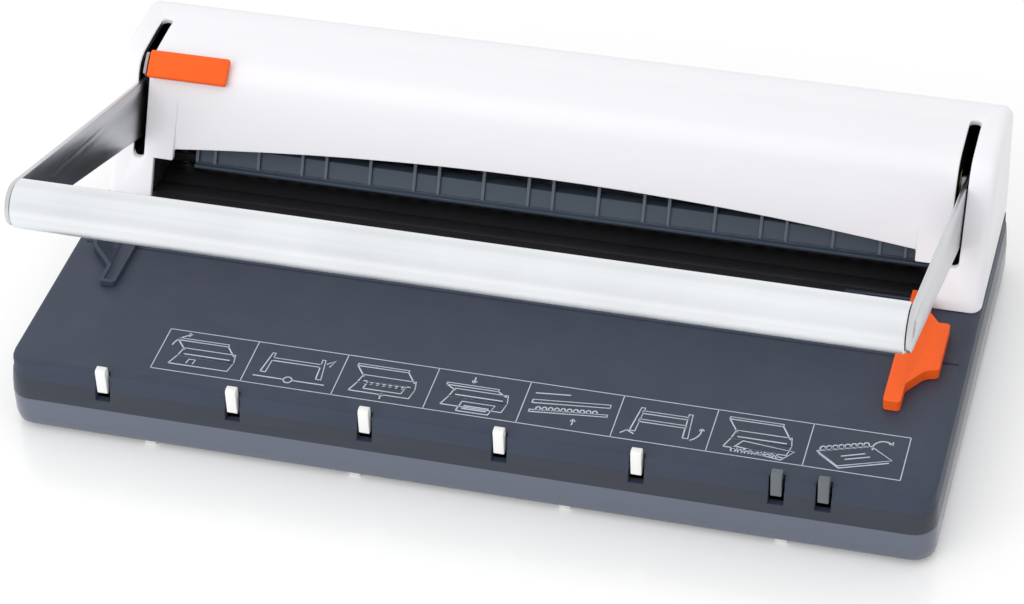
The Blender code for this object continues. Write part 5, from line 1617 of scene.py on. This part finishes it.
@dataclass
class Ram(SubAssembly):
    """Ram with its punch pins and the ribbed press bar.

    Attributes:
        pins: Number of punch pins.
        pin: Side of a pin.
        dip: Depth of the valley ground into its tip.
        strip: Height of the strip that carries the pins.
        stagger: How much shorter every second pin is.
        lean: Lean of the press bar's ribbed face.
        lip: Height of the press bar's lower lip.
        lip_out: How far the lip stands out.
        cell: Depth of the cells.
        above_lip: From the lip to the cells.
        plate: Height of the plate behind the cells, over which the ribs stand free.
        rib: Width of a rib.
        period: From one group of ribs to the next, the middle one on the machine's middle.
        narrow: Width of the narrow cell in each group.
        soft: Width of the soft edges.
    """

    pins: int = 34
    pin: float = 3.6 * MM
    dip: float = 0.5 * MM
    strip: float = 1.8 * MM
    stagger: float = 0.5 * MM
    lean: float = 28.6 * DEG
    lip: float = 1.3 * MM
    lip_out: float = 1.1 * MM
    cell: float = 1.0 * MM
    above_lip: float = 0.3 * MM
    plate: float = 7.0 * MM
    rib: float = 1.3 * MM
    period: float = 45.8 * MM
    narrow: float = 9.8 * MM
    soft: float = 0.25 * MM

    def build(self) -> None:
        """Builds the ram's pieces."""
        self.shop.refine("ram_bar", "ram_plate", self.soft, self.palette.steel, "ram")
        self.comb()
        self.press()

    def comb(self) -> None:
        """Punch pins with hollow-ground tips and the strip that carries them."""
        low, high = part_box("punch_comb")
        half = self.pin / 2
        first = Vector((-(self.pins - 1) / 2 * LOOP_PITCH, (low.y + high.y) / 2, low.z))
        strip_foot = high.z - self.strip
        outline = [(-half, -half, 0), (0.0, -half, 1), (half, -half, 0), (half, half, 0),
                   (0.0, half, 1), (-half, half, 0)]

        def fill(work: Work) -> None:
            """Adds one square pin whose tip is cut to a shallow valley.

            Args:
                work: Bmesh to add to.
            """
            rings = [ring(work, [first + Vector((x, y, lift + dip * inner))
                                 for x, y, inner in outline])
                     for lift, dip in ((0.0, self.dip), (strip_foot - low.z + HAIR, 0.0))]
            bridge(work, *rings)
            for loop in rings:
                work.faces.new((*loop[:2], *loop[4:]))
                work.faces.new((*loop[1:3], *loop[3:5]))
        steel = self.palette.steel
        pins = self.repeats.in_rows("punch_pins", fresh("punch_pin", fill), steel, self.pins,
                                    (LOOP_PITCH, 0.0, 0.0), lift=self.stagger)
        self.shop.finish(pins, steel, "ram", ["punch_comb"])
        section = [(low.y, strip_foot), (high.y, strip_foot), (high.y, high.z),
                   (low.y, high.z)]
        strip = self.shop.thing("pin_strip", prism("pin_strip", section, low.x, high.x))
        self.shop.soften(strip, self.soft)
        self.shop.finish(strip, steel, "ram", ["punch_comb"])

    def rib_places(self, left: float, right: float) -> list[float]:
        """Places of the ribs along the press bar, one narrow and two wide cells to a period.

        Args:
            left: Bar's left end.
            right: Bar's right end.

        Returns:
            Middle of each rib, the two end ribs included.
        """
        wide = (self.period - self.narrow) / 2
        low, high = left + self.rib / 2, right - self.rib / 2
        count = math.ceil((right - left) / self.period / 2) + 1
        ribs = []
        for number in range(-count, count + 1):
            start = number * self.period - self.narrow / 2
            ribs += [start, start + self.narrow, start + self.narrow + wide]
        inner = [rib for rib in ribs if low + 2 * self.rib < rib < high - 2 * self.rib]
        return [low, *inner, high]

    def press(self) -> None:
        """Press bar: its body with a lip, and the ribs between its cells."""
        low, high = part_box("press_bar")
        sine, cosine = math.sin(self.lean), math.cos(self.lean)
        face = low.y + self.lip_out
        root = Vector((face + self.lip * math.tan(self.lean), low.z + self.lip))

        def leaning(depth: float, lift: float) -> Point:
            """Place on the leaning face, a depth inside it and so far up it."""
            return (root.x + depth * cosine + lift * sine,
                    root.y - depth * sine + lift * cosine)
        shelf = leaning(self.cell, self.above_lip + self.plate)
        section = [(low.y, low.z), (high.y, low.z), (high.y, shelf[1]), shelf,
                   leaning(self.cell, self.above_lip),
                   leaning(0.0, self.above_lip), leaning(0.0, 0.0), (low.y, root.y)]
        mesh = prism("press_bar_body", section, low.x, high.x)
        body = self.shop.thing("press_bar_body", mesh)
        self.shop.soften(body, self.soft)
        self.shop.finish(body, self.palette.press_paint, "ram", ["press_bar"])
        length = (high.z - root.y) / cosine - self.above_lip
        centre = leaning(self.cell / 2, self.above_lip + length / 2)
        places = [Vector((x, *centre)) for x in self.rib_places(low.x, high.x)]
        # The ribs take the lighter copy of the paint, a painted highlight.
        paint = self.palette.rib_paint_painted_highlight
        ribs = self.repeats.run(self.repeats.ribs, "press_bar_ribs",
                                points_mesh("rib_places", places), paint,
                                Size=(self.rib, self.cell + HAIR, length),
                                Lean=(-self.lean, 0.0, 0.0))
        self.shop.soften(ribs, self.soft)
        self.shop.finish(ribs, paint, "ram", ["press_bar"])


@dataclass
class Guides(SubAssembly):
    """Edge guides on the paper table, the left one fixed and the right one sliding."""

    def build(self) -> None:
        """Builds both guides, whose nodes have soft edges of their own."""
        self.shop.refine("edge_guide_left", "left_edge_guide", 0.0, self.palette.slate)
        self.shop.refine("edge_guide_right", "right_edge_guide", 0.0, self.palette.orange,
                         "right_guide")


@dataclass
class Tray(SubAssembly):
    """Chip tray that draws out at the back."""

    soft: float = 0.4 * MM

    def build(self) -> None:
        """Builds the tray."""
        self.shop.refine("chip_tray", "chip_drawer", self.soft, self.palette.slate, "tray")


@dataclass
class Studio:
    """Camera at the photograph's angle, plain pale floor and soft lamps.

    Attributes:
        azimuth: Camera's turn to the right of the front.
        elevation: Its height angle.
        roll: Its roll.
        reach: Its distance along its own axis.
        aside: Its offset along its own right and up.
        mark: Frame node; they run from under the middle of its front.
        focal: Focal length over the frame's width.
        sensor: Width of the camera's sensor in its own millimetres.
        near: Nearest distance that it sees.
        ambient: Strength of the world for all but what the camera or gloss sees.
        floor_size: Side of the floor.
        floor_tone: Grey of the floor.
        floor_matt: Its roughness.
        floor_index: Its refractive index.
        floor_glow: Light that it adds where the camera or gloss sees it.
        aim: Point that the lamps face.
        lamps: Name, place, side and power of each.
    """

    azimuth: float = 16.686 * DEG
    elevation: float = 39.144 * DEG
    roll: float = -2.602 * DEG
    reach: float = 1201.11 * MM
    aside: Point = (20.10 * MM, 69.64 * MM)
    mark: str = "base_shell"
    focal: float = 3286.33 / 1024
    sensor: float = 36.0
    near: float = 10 * MM
    ambient: float = 0.80
    floor_size: float = 8.0
    floor_tone: float = 0.90
    floor_matt: float = 0.22
    floor_index: float = 1.8
    floor_glow: float = 0.14
    aim: Place = (0.0, 0.0, 30 * MM)
    lamps: list[tuple[str, Place, float, float]] = field(default_factory=lambda: [
        ("overhead", (0.1, 0.1, 1.5), 1.4, 2.2),
        ("front_left", (-0.7, -1.3, 0.75), 1.5, 12.0),
    ])

    def build(self) -> None:
        """Builds the camera, the world, the floor and the lamps."""
        self.camera()
        self.world()
        self.floor()
        for name, place, size, power in self.lamps:
            self.lamp(name, Vector(place), size, power)
        bpy.context.scene.view_settings.view_transform = "Standard"

    def camera(self) -> None:
        """Camera with the photograph's framing."""
        turn, rise = self.azimuth, self.elevation
        back = Vector((math.sin(turn) * math.cos(rise), -math.cos(turn) * math.cos(rise),
                       math.sin(rise)))
        right = Vector((math.cos(turn), math.sin(turn), 0.0))
        above = back.cross(right)
        level = math.cos(self.roll) * right + math.sin(self.roll) * above
        upright = math.cos(self.roll) * above - math.sin(self.roll) * right
        low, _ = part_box(self.mark)
        place = (Vector((0.0, low.y, low.z)) + level * self.aside[0]
                 + upright * self.aside[1] + back * self.reach)
        lens = bpy.data.cameras.new("studio_camera")
        lens.sensor_width = self.sensor
        lens.lens = self.focal * self.sensor
        lens.clip_start = self.near
        item = bpy.data.objects.new("studio_camera", lens)
        matrix = Matrix((level, upright, back)).transposed().to_4x4()
        matrix.translation = place
        item.matrix_world = matrix
        bpy.context.scene.collection.objects.link(item)
        bpy.context.scene.camera = item

    @staticmethod
    def seen(sheet: Sheet) -> Socket:
        """Tells apart the rays that see the surroundings from those that light the machine.

        Args:
            sheet: Sheet that the nodes go on.

        Returns:
            1 for rays of the camera, of gloss and of clear things, else 0.
        """
        path = sheet.add("ShaderNodeLightPath").outputs
        first = sheet.math("MAXIMUM", path["Is Camera Ray"], path["Is Glossy Ray"])
        return sheet.math("MAXIMUM", first, path["Is Transmission Ray"])

    def world(self) -> None:
        """White surroundings that light the machine plainly."""
        world = bpy.data.worlds.new("white_studio")
        world.use_nodes = True
        bpy.context.scene.world = world
        sheet = Sheet(world.node_tree)
        sky = world.node_tree.nodes["Background"]
        sky.inputs["Color"].default_value = WHITE
        strength = sheet.spread(self.seen(sheet), 0.0, 1.0, self.ambient, 1.0)
        world.node_tree.links.new(strength, sky.inputs["Strength"])

    def floor(self) -> None:
        """Glossy white floor, kept white where no shadow falls."""
        half = self.floor_size / 2
        mesh = bpy.data.meshes.new("studio_floor")
        mesh.from_pydata([(-half, -half, 0.0), (half, -half, 0.0), (half, half, 0.0),
                          (-half, half, 0.0)], [], [(0, 1, 2, 3)])
        item = bpy.data.objects.new("studio_floor", mesh)
        bpy.context.scene.collection.objects.link(item)
        material = bpy.data.materials.new("white_floor")
        material.use_nodes = True
        sheet = Sheet(material.node_tree)
        shader = material.node_tree.nodes["Principled BSDF"]
        tone = self.floor_tone
        for name, value in (("Base Color", (tone, tone, tone, 1.0)),
                            ("Roughness", self.floor_matt), ("IOR", self.floor_index),
                            ("Emission Color", WHITE)):
            shader.inputs[name].default_value = value
        glow = sheet.math("MULTIPLY", self.seen(sheet), self.floor_glow)
        material.node_tree.links.new(glow, shader.inputs["Emission Strength"])
        mesh.materials.append(material)

    def lamp(self, name: str, place: Vector, size: float, power: float) -> None:
        """Square soft lamp that faces the machine.

        Args:
            name: Lamp's name.
            place: Where it stands.
            size: Its side.
            power: Its power.
        """
        light = bpy.data.lights.new(name, "AREA")
        light.shape = "SQUARE"
        light.size = size
        light.energy = power
        item = bpy.data.objects.new(name, light)
        item.visible_glossy = False
        way = Vector(self.aim) - place
        item.matrix_world = Matrix.Translation(place) @ way.to_track_quat(
            "-Z", "Y").to_matrix().to_4x4()
        bpy.context.scene.collection.objects.link(item)


def main() -> None:
    """Builds the machine's pieces and the studio round them."""
    logging.basicConfig(level=logging.INFO, format="%(message)s", stream=sys.stdout)
    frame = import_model()
    Studio().build()
    shop = Workshop(frame, Palette())
    repeats = Repeats(shop)
    for kind in (Base, InstructionStrip, Cover, Bed, Springs, Handle, Selector, Ram, Guides,
                 Tray):
        kind(shop, repeats).build()


if __name__ == "__main__":
    main()
